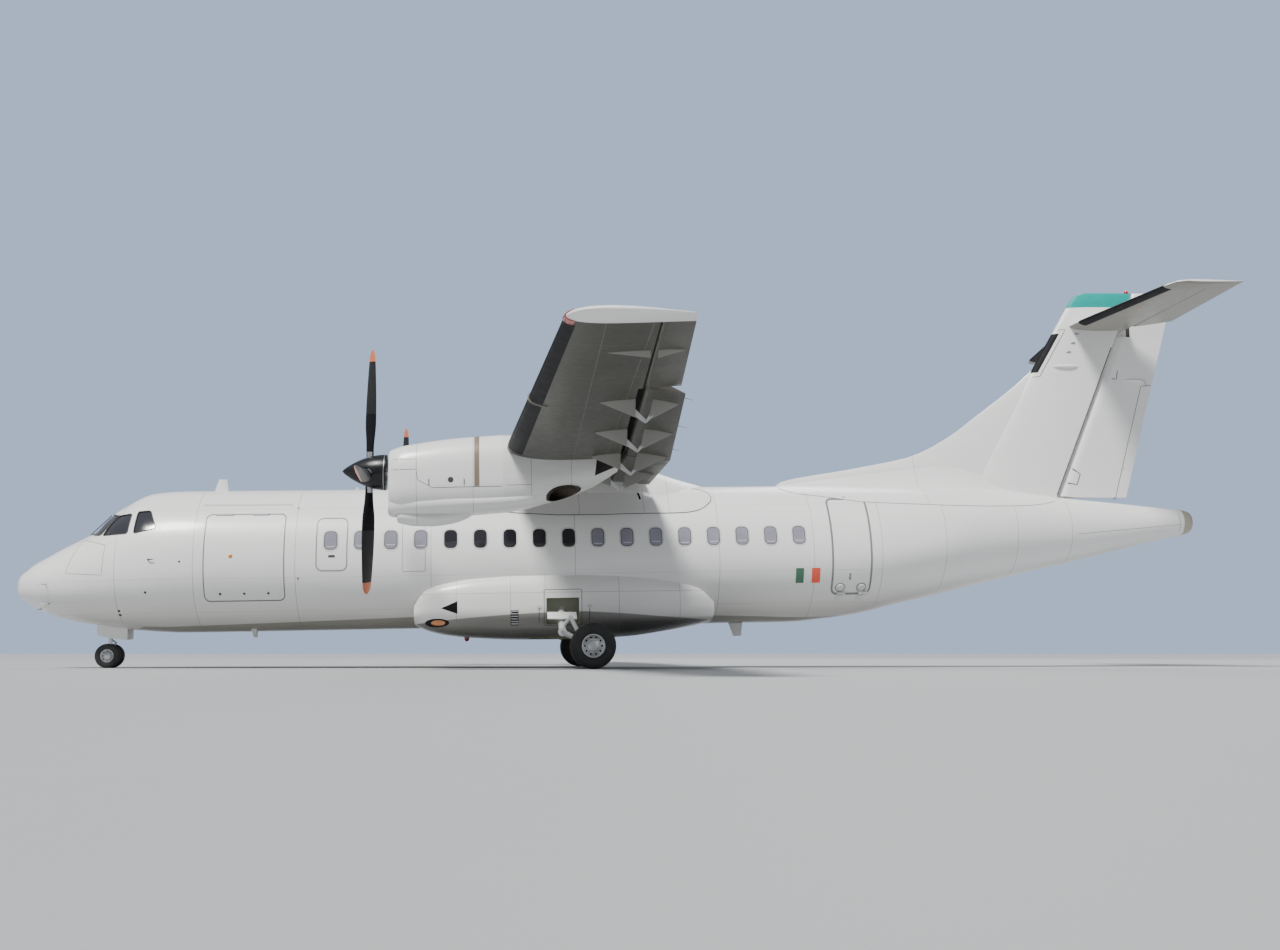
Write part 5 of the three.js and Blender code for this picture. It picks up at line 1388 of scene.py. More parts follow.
def mouth(side, height, rows):
    """Cutter that opens an intake; the faces it cuts take its near-black paint, painted shade inside the
    opening.
    """
    return loft([duct_ring(s, side, height, a, b) for s, a, b in rows], "dark")


def build_cowling(side, tag, body):
    lip = [body.ring(s, g)
           for s, g in ((7.085, -.05), (7.073, -.035), (7.07, -.02), (7.075, -.008), (7.09, 0))]
    cowl = loft(lip + [body.ring(s) for s in stations(7.11, 8.8997, .07)], "cowl")
    # the faces cut round the spinner's back take near-black paint: painted shade in the gap
    collar = turned(annulus(0, .275, -.4, .2), place(*thrust_points(side, -.30)), to_world(AXIS), "dark")
    boolean(cowl, [collar, mouth(side, *DUCT_MOUTH)])
    duct = boolean(swept(DUCT, side, 2.2), [mouth(side, *DUCT_MOUTH)])
    scoop = boolean(swept(SCOOP, side), [mouth(side, *SCOOP_MOUTH)])
    hoop, low = body.ring(8.48), .97
    over = [k for k in range(AROUND) if hoop[k, 2] > low]
    over.sort(key=lambda k: math.atan2(hoop[k, 2] - low, hoop[k, 1] - side * ENGINE_SPAN))
    bits = [cowl, duct, scoop, sleeve([body.ring(s)[over] for s in (8.44, 8.48, 8.52)], "brown")]
    for out in (1, -1):
        skin = body.side(out)
        seam = [(7.12, 1.25), (7.52, 1.25), (7.54, 1.08), (7.78, .95), (8.88, .965)]
        bits += [line(skin, seam, .008, "seal"),
                 line(skin, [(7.12, 1.42), (7.52, 1.42), (7.52, 1.25)], .006, "seal"),
                 plate(skin, rounded_box(8.02, 8.11, 1.03, 1.12, .044), -.01, .003, "seal", 2)]
        bits += [plate(skin, rounded_box(s - .01, s + .01, .99, 1.09, .006), -.01, .004, "steel", 1)
                 for s in (7.72, 8.28)]
    piece(f"cowling_shell_{tag}", bits, "airframe", "white_skin", f"cowling_{tag}")


def build_nacelles():
    for side, tag in SIDES:
        body = Hull(NACELLE, 2.4, side * ENGINE_SPAN)
        build_cowling(side, tag, body)
        start = np.array([9.25, side * (ENGINE_SPAN + .055), 1.035])
        way = np.array([10.75, side * (ENGINE_SPAN + .505), .6]) - start
        way = to_world(way / np.linalg.norm(way))
        rear = loft([body.ring(s) for s in stations(8.9, 10.77, .08)], "nacelle")
        parts = [boolean(rear, [turned(annulus(0, .157, .25, 2.0), place(start), way, "burnt", 40)])]
        for out in (1, -1):
            # near-black patch on the nacelle's tail: partly heat stain round the exhaust, partly painted
            # shade
            heat_stain_and_shade = densify([(10.38, 1.14), (10.72, 1.29), (10.72, 1.52), (10.42, 1.44)], .05)
            parts += [plate(body.side(out), heat_stain_and_shade, -.01, .003, "dark", 3),
                      line(body.side(out), [(8.96, .98), (9.35, .99)], .006, "seal")]
        piece(f"nacelle_rear_{tag}", parts, "airframe", "white_skin", f"nacelle_{tag}")
        pipe = turned(annulus(.158, .172, .26, 1.12), place(start), way, "burnt", 48)
        inside = Hull(NACELLE + np.array([0, .02, .02, 0, -.02]), 2.4, side * ENGINE_SPAN)
        boolean(pipe, [loft([inside.ring(s) for s in stations(9.0, 10.75, .1)], "burnt")], "INTERSECT")
        piece(f"exhaust_pipe_{tag}", pipe, "airframe", "burnt_steel", f"exhaust_{tag}")
        at_ = lambda s, z=1.15: (s, side * ENGINE_SPAN, z)
        core = [tube([at_(8.8997), at_(8.1), at_(7.42)], .33, "steel", 40),
                tube([at_(7.47), at_(7.3, 1.19), *thrust_points(side, -.4)], (.25, .21, .17), "steel", 32),
                tube(thrust_points(side, -.44, -.35, -.2723), .07, "chrome", 24)]
        core += [turned(annulus(.32, .345, -.012, .012), place(at_(7.6 + .27 * k)), to_world((1, 0, 0)),
                        "burnt", 40) for k in range(5)]
        piece(f"engine_core_{tag}", core, "airframe", "engine_metal", f"engine_{tag}")
        build_propeller(side, tag)


def build_propeller(side, tag):
    centre, = thrust_points(side, 0)
    hub, axis = place(centre), to_world(AXIS)
    up = np.array([math.sin(THRUST), 0, math.cos(THRUST)])
    out = cross(AXIS, up)
    angles = [math.radians(8) + k * math.pi / 2 for k in range(4)]
    lines = [up * math.cos(a) - out * math.sin(a) for a in angles]
    ogive = lambda grow, n: [((.29 - grow) * math.sin(t * math.pi / 2)**.8, .44 - grow - t * (.70 - grow))
                             for t in np.linspace(0, 1, n)]
    spinner = turned(ogive(0, 22) + ogive(.016, 12)[::-1], hub, axis, "spinner", 72)
    boolean(spinner, [turned(annulus(0, .078, .12, .42), hub, to_world(v), "seal", 28) for v in lines])
    seam = turned(annulus(.2885, .2915, -.245, -.235), hub, axis, "steel", 72)
    body = f"propeller_{tag}"
    piece(f"spinner_shell_{tag}", [spinner, seam], body, "propeller_black", f"spinner_{tag}")
    parts = [tube(thrust_points(side, -.268, 0, .14), .14, "steel", 40),
             turned(annulus(0, .287, -.272, -.2605), hub, axis, "spinner", 72)]
    t = turns(24)
    wide, thin = np.cos(t), bend(np.sin(t), 2 / 1.15) * (1 + .25 * np.cos(t))
    for v in lines:
        parts.append(tube([centre + v * r for r in (.05, .2, .33)], .06, "steel", 24))
        tangent = cross(AXIS, v)
        rings = []
        for r in BLADE_RADII:
            chord, thick, pitch = (float(smooth(BLADE, c, r)) for c in (1, 2, 3))
            if r > 1.86:
                chord *= math.sqrt(max(.02, 1 - ((r - 1.86) / .12)**2 * .9))
            p = math.radians(pitch)
            along = tangent * math.cos(p) + AXIS * math.sin(p)
            rings.append(centre + v * r + np.outer(wide * chord / 2, along)
                         + np.outer(thin * thick / 2, cross(v, along)))
        blade = loft(rings, ["black", "orange", "boot"])
        for f in blade.data.polygons:
            d = float(np.linalg.norm(np.array(f.center) - hub))
            f.material_index = 1 if d > 1.79 else (2 if d < .95 else 0)
        parts.append(blade)
    piece(f"propeller_blades_{tag}", parts, body, "propeller_black", body)


# Tail

def gap_line(z):
    """Station of the line between fin and rudder at a height."""
    return 19.351 + .4425 * z


def fin_trail(z):
    return float(linear(FIN, 2, z))


def upright(p, z):
    return np.stack([p[:, 0], p[:, 1], np.full(len(p), z)], 1)


def fin_loft(heights, material, front=None, rear=None, nose=0.0):
    rings = [upright(thin_section(FIN, z, front and front(z), rear and rear(z), nose), z) for z in heights]
    return loft(rings, material, sharp=28)


def fin_skin(side):
    """Skin of the fin and the rudder by station, height and offset."""
    return lambda s, z, off: (s, side * (thin_half(FIN, z, s) + off), z)


def tail_skin(side, up):
    """Skin of the tailplane by station, span and offset."""
    return lambda s, y, off: (s, side * y, TAIL_HEIGHT + up * (thin_half(TAILPLANE, y, s) + off))


def tail_ring(y, front=None, rear=None, nose=0.0):
    """Section of the tailplane at a span, with a rounded tip."""
    lead, trail, h = (float(linear(TAILPLANE, c, min(abs(y), 3.5))) for c in (1, 2, 3))
    u = share_of(abs(y), 3.5, .155)
    e = 1 - math.sqrt(1 - u * u)
    p = section(lead + .24 * e, trail - .03 * e, FLAT, slim(h * max(.2, 1 - e)), front, rear, nose, 22)
    return np.stack([p[:, 0], np.full(len(p), y), TAIL_HEIGHT + p[:, 1]], 1)


def elevator_front(y):
    return float(np.interp(abs(y), (.37, 3.29), (21.56 - .062, 21.575 - .04)))


def build_fin():
    box_rear = lambda z: gap_line(z) - .033
    dorsal = []
    for z in np.linspace(1.2, 3.76, 40):
        lead, h = float(smooth(DORSAL, 1, z)), float(smooth(DORSAL, 2, z))
        trail = float(np.interp(z, (1.2, 3.76), (19.2, 20.1)))
        half = lambda x: h * np.sin(np.pi / 2 * np.clip(x * 1.25, 0, 1))**.75 + .001
        dorsal.append(upright(section(lead, trail, FLAT, half, n=22), z))
    parts = [fin_loft(np.linspace(1.0, 5.0297, 34), "composite", rear=box_rear),
             loft(dorsal, "dorsal", sharp=28)]
    rows = [[(s, y, z) for s, y in thin_front(FIN, z, .13, .13)] for z in np.linspace(3.69, 4.49, 9)]
    parts.append(sleeve(rows, "boot"))
    border = [(float(linear(FIN, 1, z)) + d, z)
              for z, d in ((3.60, .02), (3.60, .21), (4.57, .21), (4.57, .02))]
    root = [(s, edge_at(DORSAL_EDGE, s) - .004) for s in np.linspace(14.18, 19.66, 30)]
    for side in (1, -1):
        skin = fin_skin(side)
        parts.append(line(skin, border, .016, "seam", .002))
        parts += [dome(skin, at_, (.055, .022), .014, "steel")
                  for at_ in ((20.45, 4.47), (20.36, 4.285), (20.255, 4.10))]
        parts += [dome(skin, (20.17, 3.80), (.26, .03), .05, "composite"),
                  line(hull.side(side), root, .006, "seam", .005),
                  line(skin, [(gap_line(z) - .046, z) for z in (1.2, 4.2)], .018, "seal", .002)]
    parts += [loft([dorsal_ring(s, side) for s in stations(14.2, 19.68, .12)], "dorsal") for side in (1, -1)]
    piece("fin_box", parts, "airframe", "composite_white", "fin")
    heights = np.concatenate([np.linspace(5.03, 5.28, 8), np.linspace(5.29, 5.345, 8)])
    piece("fin_tip_cap", fin_loft(heights, "teal", rear=box_rear), "airframe", "composite_teal", "fin_tip")


def build_rudder():
    heights = np.concatenate([np.linspace(1.16, 5.28, 44), np.linspace(5.29, 5.345, 8)])
    rudder = fin_loft(heights, "composite", front=lambda z: gap_line(z) + .012, nose=.16)
    notch = [(gap_line(4.42) - .2, 4.42), (21.585, 4.42), (21.585, 4.86), (gap_line(4.86) - .2, 4.86)]
    foot = [(19.0, 1.0), (gap_line(1.19), 1.19), (21.4, 1.062), (23.0, .862), (23, .7), (19, .7)]
    boolean(rudder, [prism(notch, "y", -.6, .6, "seal"), prism(foot, "y", -.6, .6, "composite")])
    bits = [rudder, pin([(gap_line(z) + .22, 0, z) for z in (1.09, 1.2, 1.3)])]
    tab = [(fin_trail(z) - .235, z) for z in np.linspace(1.12, 3.42, 12)] + [(fin_trail(3.44) - .02, 3.44)]
    link = ((21.80, 3.525, .045), (21.86, 3.50, .045), (21.90, 3.42, .012))
    for side in (1, -1):
        skin = fin_skin(side)
        bits += [line(skin, tab, .012, "seal"),
                 line(skin, [(20.19, 1.74), (20.354, 1.62), (20.275, 1.41), (20.07, 1.45)], .018, "seal"),
                 line(skin, [(21.14, 3.56), (21.24, 3.55), (21.27, 3.72)], .016, "seal"),
                 dome(skin, (21.66, 3.53), (.23, .027), .045, "composite"),
                 tube([skin(*at_) for at_ in link], .009, "steel", 10)]
        for z in (1.75, 2.3, 2.85):
            s = fin_trail(z)
            bits.append(plate(skin, rounded_box(s - .27, s - .20, z - .018, z + .018, .01), -.006, .008,
                              "frame", 1))
    piece("rudder_panel", bits, "rudder", "composite_white", "rudder")


def build_tailplane():
    lead = lambda y: float(linear(TAILPLANE, 1, y))
    tips = [3.302, *np.linspace(3.35, 3.5, 4), 3.54, 3.575, 3.6, 3.62, 3.635, 3.645, 3.652, 3.655]
    middle = [tail_ring(y, rear=elevator_front(y) - .012) for y in np.linspace(-3.302, 3.302, 27)]
    parts = [loft(middle, "composite", sharp=28)]
    for side in (1, -1):
        parts.append(loft([tail_ring(side * y) for y in tips], "composite", sharp=28))
        for up in (1, -1):
            skin = tail_skin(side, up)
            parts += [line(skin, [(lead(y) + .2, y), (21.46, y)], .006, "seam") for y in (1.2, 2.2)]
            parts.append(line(skin, [(20.92, 3.44), (21.2, 3.46), (21.5, 3.45)], .008, "seam"))
        parts.append(dome(tail_skin(side, -1), (lead(1.9) + .34, 1.9), (.03, .03), .010, "amber"))
        rows = [[(s, side * y, TAIL_HEIGHT + z) for s, z in thin_front(TAILPLANE, y, .12, .15)]
                for y in np.linspace(.45, 3.25, 9)]
        parts.append(sleeve(rows, "boot"))
    piece("tailplane_box", shaded_underside(joined(parts), "composite", "tail_under", -1), "airframe",
          "composite_white", "tailplane")
    for side, tag in SIDES:
        rings = [tail_ring(side * y, front=elevator_front(y), nose=.06) for y in np.linspace(.372, 3.29, 14)]
        wedge = [(21.0, side * .2), (21.4, side * .37), (21.56, side * .37), (22.4, side * .62),
                 (22.5, side * .2)]
        panel = boolean(loft(rings, "grey", sharp=28), [prism(wedge, "z", 4.2, 5.1, "grey")])
        hinge = [(float(np.interp(y, (.37, 3.29), (21.56, 21.575))), side * y, TAIL_HEIGHT)
                 for y in (3.262, 3.3, 3.33)]
        node = f"elevator_{tag}"
        piece(f"elevator_panel_{tag}", shaded_underside(joined([panel, pin(hinge)]), "grey", "tail_under", -1), node,
              "composite_grey", node)


# Landing gear, in the row frame

TYRE_SIDES = math.cos(math.pi / 20)  # the solid tyres are polygons that stand on a flat
NOSE_X, NOSE_Z = (REFERENCE - 1.7) * CP, .225 * TYRE_SIDES
MAIN_X, MAIN_Z = (REFERENCE - 10.48) * CP, .405 * TYRE_SIDES
SPANWISE = (0, 1, 0)


def spread(a, b, *shares):
    """Places at shares of the way from one place to another."""
    return [a * (1 - t) + b * t for t in shares]


def tyre(centre, radius, width, bore, grooves):
    half, tread = width / 2, radius - .001
    wall = [(bore + .003, .70), (bore + .02, .84), ((bore + radius) / 2, 1), (radius - .028, .93),
            (radius - .010, .80), (tread - .002, .64)]
    outline = [(r, -half * h) for r, h in wall]
    for g in range(grooves):
        c = -half * .6 + half * 1.2 / (grooves + 1) * (g + 1)
        outline += [(tread, c - .007), (tread - .009, c - .005), (tread - .009, c + .005), (tread, c + .007)]
    outline += [(r, half * h) for r, h in wall[::-1]]
    return turned(outline, centre, SPANWISE, "tyre", 96, 50)


def rims(centre, width, bore, spacing, axle, bolts):
    """Two rims with their bolts and caps on one axle."""
    parts, rim = [], width * .36
    outline = [(axle + .004, -rim * .8), (bore * .9, -rim), (bore, -rim), (bore, rim), (bore * .93, rim),
               (bore * .86, rim * .86), (bore * .60, rim * .40), (bore * .52, rim * .44),
               (bore * .46, rim * .86), (bore * .3, rim * .98), (axle + .004, rim)]
    cap = [(0, rim * .9), (bore * .28, rim * .9), (bore * .26, rim * 1.02), (bore * .2, rim * 1.08),
           (0, rim * 1.1)]
    turn = 2 * math.pi / bolts
    for d in (1, -1):
        out, c = (0, d, 0), centre + (0, d * spacing, 0)
        hub = lambda k, reach: c + np.array([math.cos(turn * k), 0, math.sin(turn * k)]) * reach
        # the holes' walls take the near-black cutter paint: painted shade inside the bolt holes
        holes = [turned(annulus(0, bore * .085, 0, .12), hub(k, bore * .73), out, "dark", 16)
                 for k in range(bolts)]
        parts.append(boolean(turned(outline, c, out, "rim", 72), holes))
        parts += [turned([(0, -.004), (.009, -.004), (.009, .008), (0, .010)],
                         hub(k + .5, bore * .58) + (0, d * rim * .40, 0), out, "steel", 6)
                  for k in range(bolts)]
        parts.append(turned(cap, c, out, "gear", 48))
    parts.append(rod([centre + (0, y, 0) for y in (-spacing - .02, 0, spacing + .02)], axle, "chrome", 32))
    return parts


def build_nose_gear():
    axle, foot = np.array([NOSE_X, 0, NOSE_Z]), np.array([NOSE_X, 0, .61])
    for side, tag in SIDES:
        rubber_ = tyre(axle + (0, side * .145, 0), NOSE_Z, .17, .118, 2)
        piece(f"nose_tyre_rubber_{tag}", rubber_, "nose_wheels", "tyre", f"nose_tyre_{tag}")
    piece("nose_rims", rims(axle, .17, .118, .145, .024, 8), "nose_wheels", "gear_metal", "nose_wheel_rims")
    at_ = lambda x, y, z: foot + (x, y, z)
    knee = (-.096, 0, -.15)
    fork = [rod([at_(0, 0, -.0005), at_(0, 0, -.2), axle + (0, 0, .02)], .036, "chrome", 32),
            turned(annulus(.026, .05, -.038, .038), axle, SPANWISE, "gear", 40),
            rod([at_(0, 0, -.07), at_(-.05, 0, -.11), at_(*knee)], (.02, .015, .017), "gear"),
            rod([at_(*knee), at_(-.06, 0, -.24), axle + (-.02, 0, .02)], (.017, .015, .02), "gear"),
            rod([at_(*knee) + (0, y, 0) for y in (-.03, 0, .03)], .018, "steel", 20),
            rod([axle + (0, 0, h) for h in (.03, .06, .085)], .042, "gear", 32)]
    piece("nose_fork_assembly", fork, "nose_steering", "gear_metal", "nose_fork")
    leg = [rod([foot, at_(0, 0, .3), (NOSE_X, 0, 1.285)], .057, "gear", 40),
           rod([at_(0, 0, h) for h in (.001, .045, .09)], .074, "gear", 40),
           rod([at_(0, 0, h) for h in (.24, .27, .30)], .066, "steel", 40),
           rod([at_(0, 0, .14), at_(-.14, 0, .33), ((REFERENCE - 2.01) * CP, 0, 1.14)], .026, "gear", 24),
           rod([at_(.03, -.06, .05), at_(.03, -.075, .07), at_(.03, -.09, .05)], .018, "steel")]
    leg += [rod([at_(.055 + .012 * math.sin(i), y, .02 + .09 * i) for i in range(7)], .007, "seal", 10)
            for y in (-.03, .035)]
    leg += [rod([at_(x, 0, .36) for x in (.05, .075, .10)], .02, "gear"),
            turned([(0, 0), (.055, 0), (.062, .02), (.06, .035), (0, .04)], at_(.10, 0, .36), (1, 0, 0),
                   "lamp", 32)]
    piece("nose_leg_assembly", leg, "airframe", "gear_metal", "nose_leg")
    ends = (1.487, 2.028)
    for side, tag in SIDES:
        y0, y1 = side * (.22 - .0143), side * (.22 - .0003)
        rows = []
        for s in np.linspace(*ends, 9):
            half, _, widest, bottom = hull.row(s)
            z = widest - (widest - bottom) * math.sqrt(1 - (.22 / half)**2)
            low = z - .205 + (.02 if s in ends else 0)
            rows.append([(s, y0, z + .012), (s, y1, z + .012), (s, y1, low), (s, y0, low)])
        piece(f"nose_door_panel_{tag}", loft(rows, "white"), "airframe", "white_skin",
              f"nose_gear_door_{tag}")


def build_main_gear(side, tag):
    axle = np.array([MAIN_X, side * 2.05, MAIN_Z])
    wheels = f"main_wheels_{tag}"
    for wheel, d in (("inner", -side), ("outer", side)):
        rubber_ = tyre(axle + (0, d * .182, 0), MAIN_Z, .22, .205, 4)
        piece(f"main_tyre_rubber_{tag}_{wheel}", rubber_, wheels, "tyre", f"main_tyre_{tag}_{wheel}")
    piece(f"main_rims_{tag}", rims(axle, .22, .205, .182, .04, 10), wheels, "gear_metal",
          f"main_wheel_rims_{tag}")
    x = (REFERENCE - 9.95) * CP
    strut = lambda t: np.array([x, side * (1.15 + .9 * t), 1.11 - .47 * t])
    knee, low, high = strut(1), axle + (.17, 0, .072), np.array([(REFERENCE - 10.09) * CP, side * 2.05, .9])
    leg = [rod([strut(t) for t in np.linspace(0, 1, 5)], (.06, .064, .066, .066, .062), "gear", 32),
           rod(spread(np.array([x, side * 1.0, .64]), strut(.62), 0, .5, 1), .025, "gear", 20),
           turned([(0, -.052), (.07, -.052), (.078, -.044), (.078, .044), (.07, .052), (0, .052)],
                  knee, SPANWISE, "gear", 40),
           turned(annulus(0, .03, -.07, .07), knee, SPANWISE, "steel", 24),
           rod(spread(knee, axle, 0, .5, 1), (.05, .044, .05), "gear", 28),
           turned(annulus(.042, .084, -.05, .05), axle, SPANWISE, "gear", 40),
           rod(spread(low, high, .42, .7, .94), .038, "gear", 28),
           rod(spread(low, high, .04, .25, .45), .024, "chrome", 24),
           rod([low + (0, y, 0) for y in (-.035, 0, .035)], .036, "gear", 24),
           rod([high + (0, y, 0) for y in (-.035, 0, .035)], .038, "gear", 24),
           rod(spread(strut(.82), high, 0, .5, 1), .034, "gear", 24)]
    for k, off in enumerate((.07, .085)):
        hose = [strut(t) + (.02 * math.sin(5 * t + k), 0, -off) for t in np.linspace(.05, .95, 12)]
        pipe = [spread(knee, axle, t)[0] + (0, (k - .5) * .05, .055 + .012 * math.sin(6 * t))
                for t in np.linspace(.1, .9, 10)]
        leg += [rod(hose, .008, "seal", 10), rod(pipe, .006, "seal", 10)]
    piece(f"main_leg_assembly_{tag}", leg, "airframe", "gear_metal", f"main_leg_{tag}")
    out = np.array([0, side * .47, .9]) / math.hypot(.9, .47)
    ring = ((.46, .108), (.59, .108), (.72, .108), (.72, .124), (.59, .124), (.46, .124))
    rows = [[((REFERENCE - s) * CP, *(strut(t) + out * lift)[1:]) for t, lift in ring]
            for s in np.linspace(9.69, 10.21, 7)]
    door = [loft(rows, "white", world=True)]
    door += [rod([strut(t) + out * d for d in (.0663, .09, .112)], .02, "gear", 20) for t in (.525, .655)]
    piece(f"main_door_panel_{tag}", door, "airframe", "white_skin", f"main_gear_door_{tag}")


# Small parts on the skin

def antenna(root, height, chord, material, up=1):
    """Swept blade standing on the roof or the belly."""
    s, y, z = root
    return loft([[(s + .35 * height * t + chord * (1 - .45 * t) * .5 * (1 - math.cos(v)),
                   y + .012 * (1 - .4 * t) * math.sin(v), z + up * (t * height - .01)) for v in turns(20)]
                 for t in np.linspace(0, 1, 6)], material)


def probe(root, side, steps, radius, material, around):
    return tube([np.add(root, (a, side * b, c)) for a, b, c in ((0, 0, 0), *steps)], radius, material, around)


def wing_front(y, upper, lower, n=13):
    """Curve round the wing's leading edge at a span."""
    lead, chord, middle, half = wing_lines(y)
    return front_curve(lead, chord, middle, half, upper, lower, n)


def build_fittings():
    bits, dark, lamps = [], [], []
    for side in (1, -1):
        skin = hull.side(side)
        dark += [strip(skin, soft_box(5.57, 6.11, -.17, .79, .11), .020, "seam", .0018),
                 plate(skin, rounded_box(5.78, 5.90, .07, .11, .015), -.01, .006, "seal", 2)]
    skin = hull.side(1)
    nose_panel = densify([(1.31, .50), (1.84, .36), (1.81, -.18), (1.12, -.13)])
    dark += [strip(skin, outline, .008, "seam", .0018)
             for outline in (nose_panel, soft_box(7.09, 7.5, -.2, 1.0, .03))]
    bits += [plate(skin, box(3.50, 5.09, 1.06, 1.09), -.01, .004, "frame", 2),
             plate(skin, box(14.27, 14.42, -.51, -.24), -.01, .0015, "green", 2),
             plate(skin, box(14.57, 14.73, -.51, -.24), -.01, .0015, "flagorange", 2)]
    for side in (1, -1):
        skin = hull.side(side)
        pitot = ((-.01, .05, -.01), (-.05, .065, -.01), (-.12, .065, -.01))
        bits += [probe(root, side, pitot, (.014, .011, .008, .006), "steel", 12)
                 for root in (skin(.742, -.3, 0), skin(.757, -.645, 0), (.516, side * .279, -.726))]
        dark += [plate(skin, rounded_box(2.03, 2.08, z, z + .04, .019), -.01, .002, "seal", 2)
                 for z in (-.83, -.90)]
        dark += [dome(skin, (s, z), (r, r), .012, "seal")
                 for s, z, r in ((3.19, .03, .018), (2.58, -.50, .022), (1.87, .575, .022),
                                 (5.25, -.30, .016))]
        vane = ((.01, .03, 0), (.05, .045, -.002), (.11, .045, -.004))
        bits.append(probe(skin(2.64, .075, 0), side, vane, (.014, .012, .010, .004), "seal", 10))
    bits += [antenna((3.5, 0, 1.43), .24, .26, "composite"), antenna((13.2, 0, -1.20), .26, .28, "frame", -1),
             antenna((4.26, .35, -1.15), .11, .12, "frame", -1),
             antenna((4.22, 0, -1.2), .12, .12, "frame", -1), antenna((6.1, 0, 1.43), .07, .1, "frame")]
    upwards = to_world((0, 0, 1))
    low = [(0, -.08), (.03, -.07), (.05, -.03), (.05, 0), (0, 0)]
    high = [(0, 0), (.045, 0), (.045, .02), (.03, .055), (0, .062)]
    lamps += [turned(low, place((8.2, 0, -1.38)), upwards, "red", 32),
              turned(high, place((21.6, 0, 5.34)), upwards, "red", 32),
              dome(hull.side(1), (5.2, 1.0), (.022, .016), .01, "amber")]
    triangle = densify([(7.78, -.872), (8.07, -.75), (8.07, -.976)], .05)
    dark.append(plate(belly_hull.side(1), triangle, -.01, .002, "boot", 3))
    for side in (1, -1):
        skin = belly_hull.side(side)
        lamps.append(plate(skin, ellipse(7.72, -1.13, .13, .05, 24), -.005, .005, "amber", 3))
        # the near-black plate behind the vent's slats stands for the shade inside it: painted shade
        dark += [plate(skin, ellipse(7.70, -1.13, .22, .075, 32), -.01, .002, "boot", 3),
                 plate(skin, box(9.02, 9.16, -1.2, -.93), -.01, .0015, "dark", 2),
                 strip(skin, soft_box(9.62, 10.3, -1.21, -.57, .03), .009, "seal", .0018)]
        bits += [plate(skin, box(9.03, 9.15, z, z + .014), -.004, .006, "gear", 1)
                 for z in -1.18 + .045 * np.arange(6)]
        for s in (9.53, 10.44):
            bits.append(plate(skin, rounded_box(s - .045, s + .045, -.90, -.845, .014), -.006, .010,
                              "frame", 1))
            dark.append(line(skin, [(s, -.905), (s, -1.16)], .010, "seal", .002))
    piece("skin_fittings", bits, "airframe", "gear_metal")
    piece("skin_markings", dark, "airframe", "white_skin")
    piece("beacons_and_lamps", lamps, "airframe", "glazing")


def build_wing_details():
    boots, lights = [], []
    for side, tag in SIDES:
        cover = lambda y, curve: [(s, side * y, z) for s, z in curve]
        for low, high in ((1.35, 3.5), (4.64, 7.97), (8.07, 11.83)):
            spans = [(y, wing_lines(y)[1]) for y in np.linspace(low, high, 16)]
            boots.append(sleeve([cover(y, wing_front(y, .07 * chord, .09 * chord)) for y, chord in spans],
                                "boot"))
        boots.append(sleeve([cover(8.02 + d, wing_front(8.02, .2, .26)) for d in (-.014, .014)], "pod", .016))
        tip = [cover(y, wing_front(y, .10, .10, 9)) for y in np.linspace(11.87, 12.0, 5)]
        lights.append(sleeve(tip, "red" if side > 0 else "greenlens", .012))
        for k, y in enumerate((5.3, 7.0, 8.7)):
            lead, chord, middle, _ = wing_lines(y)
            path = [(lead + chord + d, side * y, float(middle(1.0)) - drop)
                    for d, drop in ((-.01, 0), (.05, .004), (.12, .012))]
            wick = tube(about(path, *flap_turn(side, *OUTBOARD)), (.004, .003, .002), "seal", 8)
            piece(f"wick{tag}{k}", wick, f"flap_outboard_{tag}", "grey_skin")
    piece("deicer_boots_and_fences", boots, "airframe", "grey_skin")
    piece("wing_tip_lights", lights, "airframe", "glazing")


# Floor, lights and camera

FLOOR_RADIUS = 160
# name, place, target, size, power and colour of each light
LIGHTS = (
    ("fill", (-20, 34, 14), (0, 0, 3), 20, 1100, (.95, .97, 1)),
    ("rim", (-14, -24, 26), (0, 0, 4), 16, 4000, (.96, .98, 1)))
KEY_PLACE, KEY_STRENGTH, KEY_ANGLE = (15, 19, 36), 5.2, math.radians(14)
AMBIENT, AMBIENT_STRENGTH = (.84, .90, 1, 1), .32
BACKDROP, BACKDROP_STRENGTH = (.50, .64, .88, 1), .95
CAMERA_AZIMUTH, CAMERA_REACH, CAMERA_HEIGHT = math.radians(175.6), 27.0, .30
TARGET = Vector((-.2, 0, 3.7))


def background(tree, colour, strength, node=None):
    node = node or tree.nodes.new("ShaderNodeBackground")
    node.inputs["Color"].default_value = colour
    node.inputs["Strength"].default_value = strength
    return node.outputs[0]


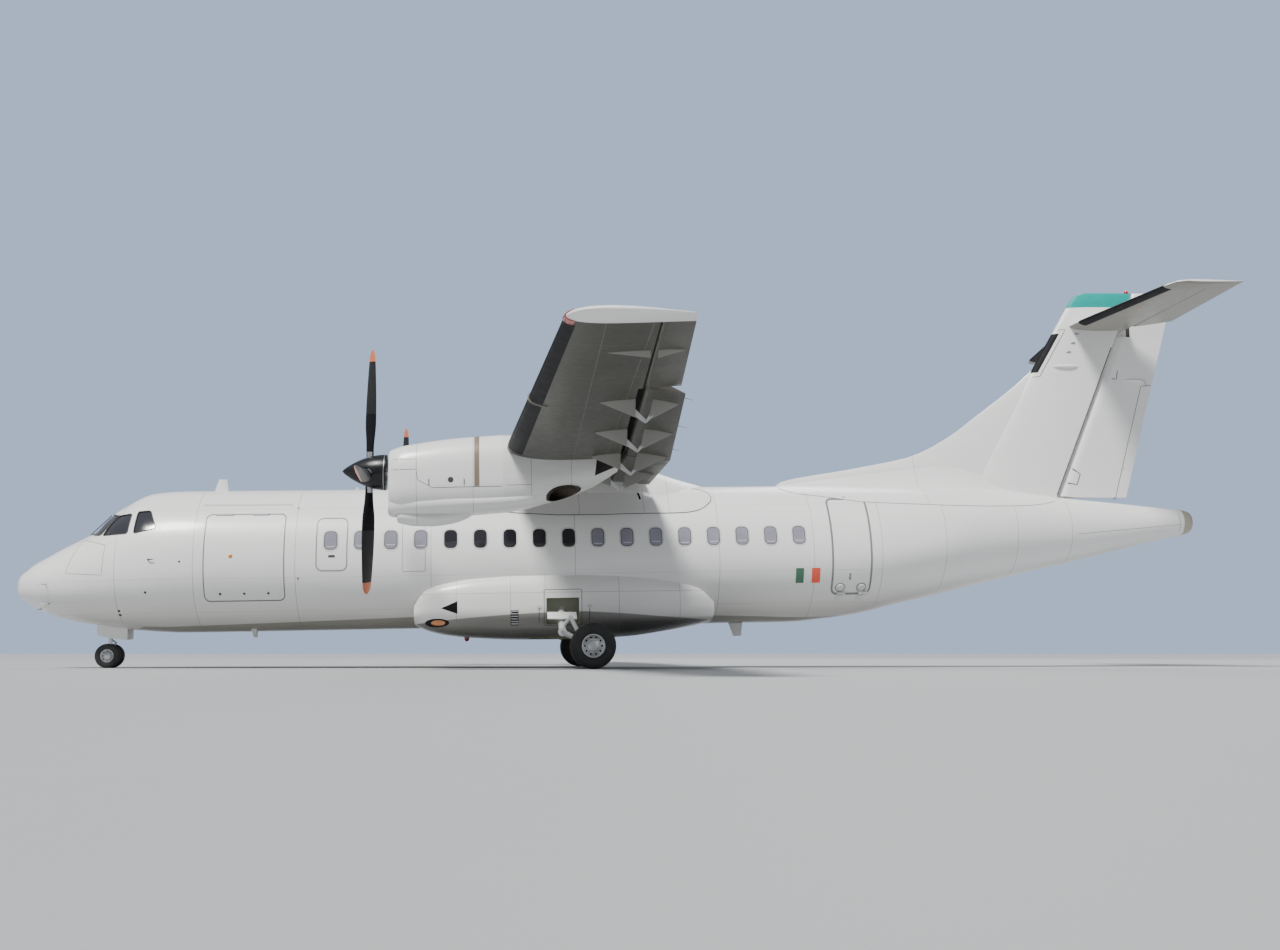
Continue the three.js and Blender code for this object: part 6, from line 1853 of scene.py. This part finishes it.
def build_stage():
    """Pale round floor, soft lights and a camera at floor level on the photo's side."""
    p = Paint("studio_floor")
    tone = p.mix(p.math("MULTIPLY", p.noise(1.5, 3), .3), (.42, .43, .44), (.385, .395, .405))
    rim = [(x, y, 0) for x, y in ellipse(0, 0, FLOOR_RADIUS, FLOOR_RADIUS, 96)]
    floor = mesh(rim, [range(len(rim))], p.done(tone, .75, p.noise(60, 2), .0005, .1), shade=False)
    floor.name = floor.data.name = "floor"
    floor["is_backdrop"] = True
    world = bpy.data.worlds.new("studio")
    bpy.context.scene.world = world
    world.use_nodes = True
    tree = world.node_tree
    choice, ray = tree.nodes.new("ShaderNodeMixShader"), tree.nodes.new("ShaderNodeLightPath")
    tree.links.new(ray.outputs["Is Camera Ray"], choice.inputs[0])
    tree.links.new(background(tree, AMBIENT, AMBIENT_STRENGTH, tree.nodes["Background"]), choice.inputs[1])
    tree.links.new(background(tree, BACKDROP, BACKDROP_STRENGTH), choice.inputs[2])
    tree.links.new(choice.outputs[0], tree.nodes["World Output"].inputs["Surface"])
    for name, at_, target, size, power, colour in LIGHTS:
        data = bpy.data.lights.new(name, "AREA")
        data.energy, data.size, data.color = power, size, colour
        ob = added(name, data)
        ob.location = at_
        ob.rotation_euler = (Vector(target) - Vector(at_)).to_track_quat("-Z", "Y").to_euler()
    data = bpy.data.lights.new("key", "SUN")
    data.energy, data.angle, data.color = KEY_STRENGTH, KEY_ANGLE, (1, .985, .955)
    added("key", data).rotation_euler = Vector(KEY_PLACE).to_track_quat("Z", "Y").to_euler()
    data = bpy.data.cameras.new("camera")
    data.sensor_width, data.lens, data.clip_end = 36, 39.5, 600
    ob = added("camera", data)
    ob.location = (.35 + CAMERA_REACH * math.sin(CAMERA_AZIMUTH), -CAMERA_REACH * math.cos(CAMERA_AZIMUTH),
                   CAMERA_HEIGHT)
    ob.rotation_euler = (TARGET - ob.location).to_track_quat("-Z", "Y").to_euler()
    bpy.context.scene.camera = ob


build_nose()
build_cargo()
build_body()
build_stair()
build_windows()
build_wing()
build_fairings()
build_nacelles()
build_fin()
build_rudder()
build_tailplane()
build_nose_gear()
for number, word in SIDES:
    build_main_gear(number, word)
build_fittings()
build_wing_details()
build_stage()

corners = lambda pair: [[round(float(v), 5) for v in corner] for corner in pair]
{"cad": corners(cad_box), "visual": corners(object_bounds())}
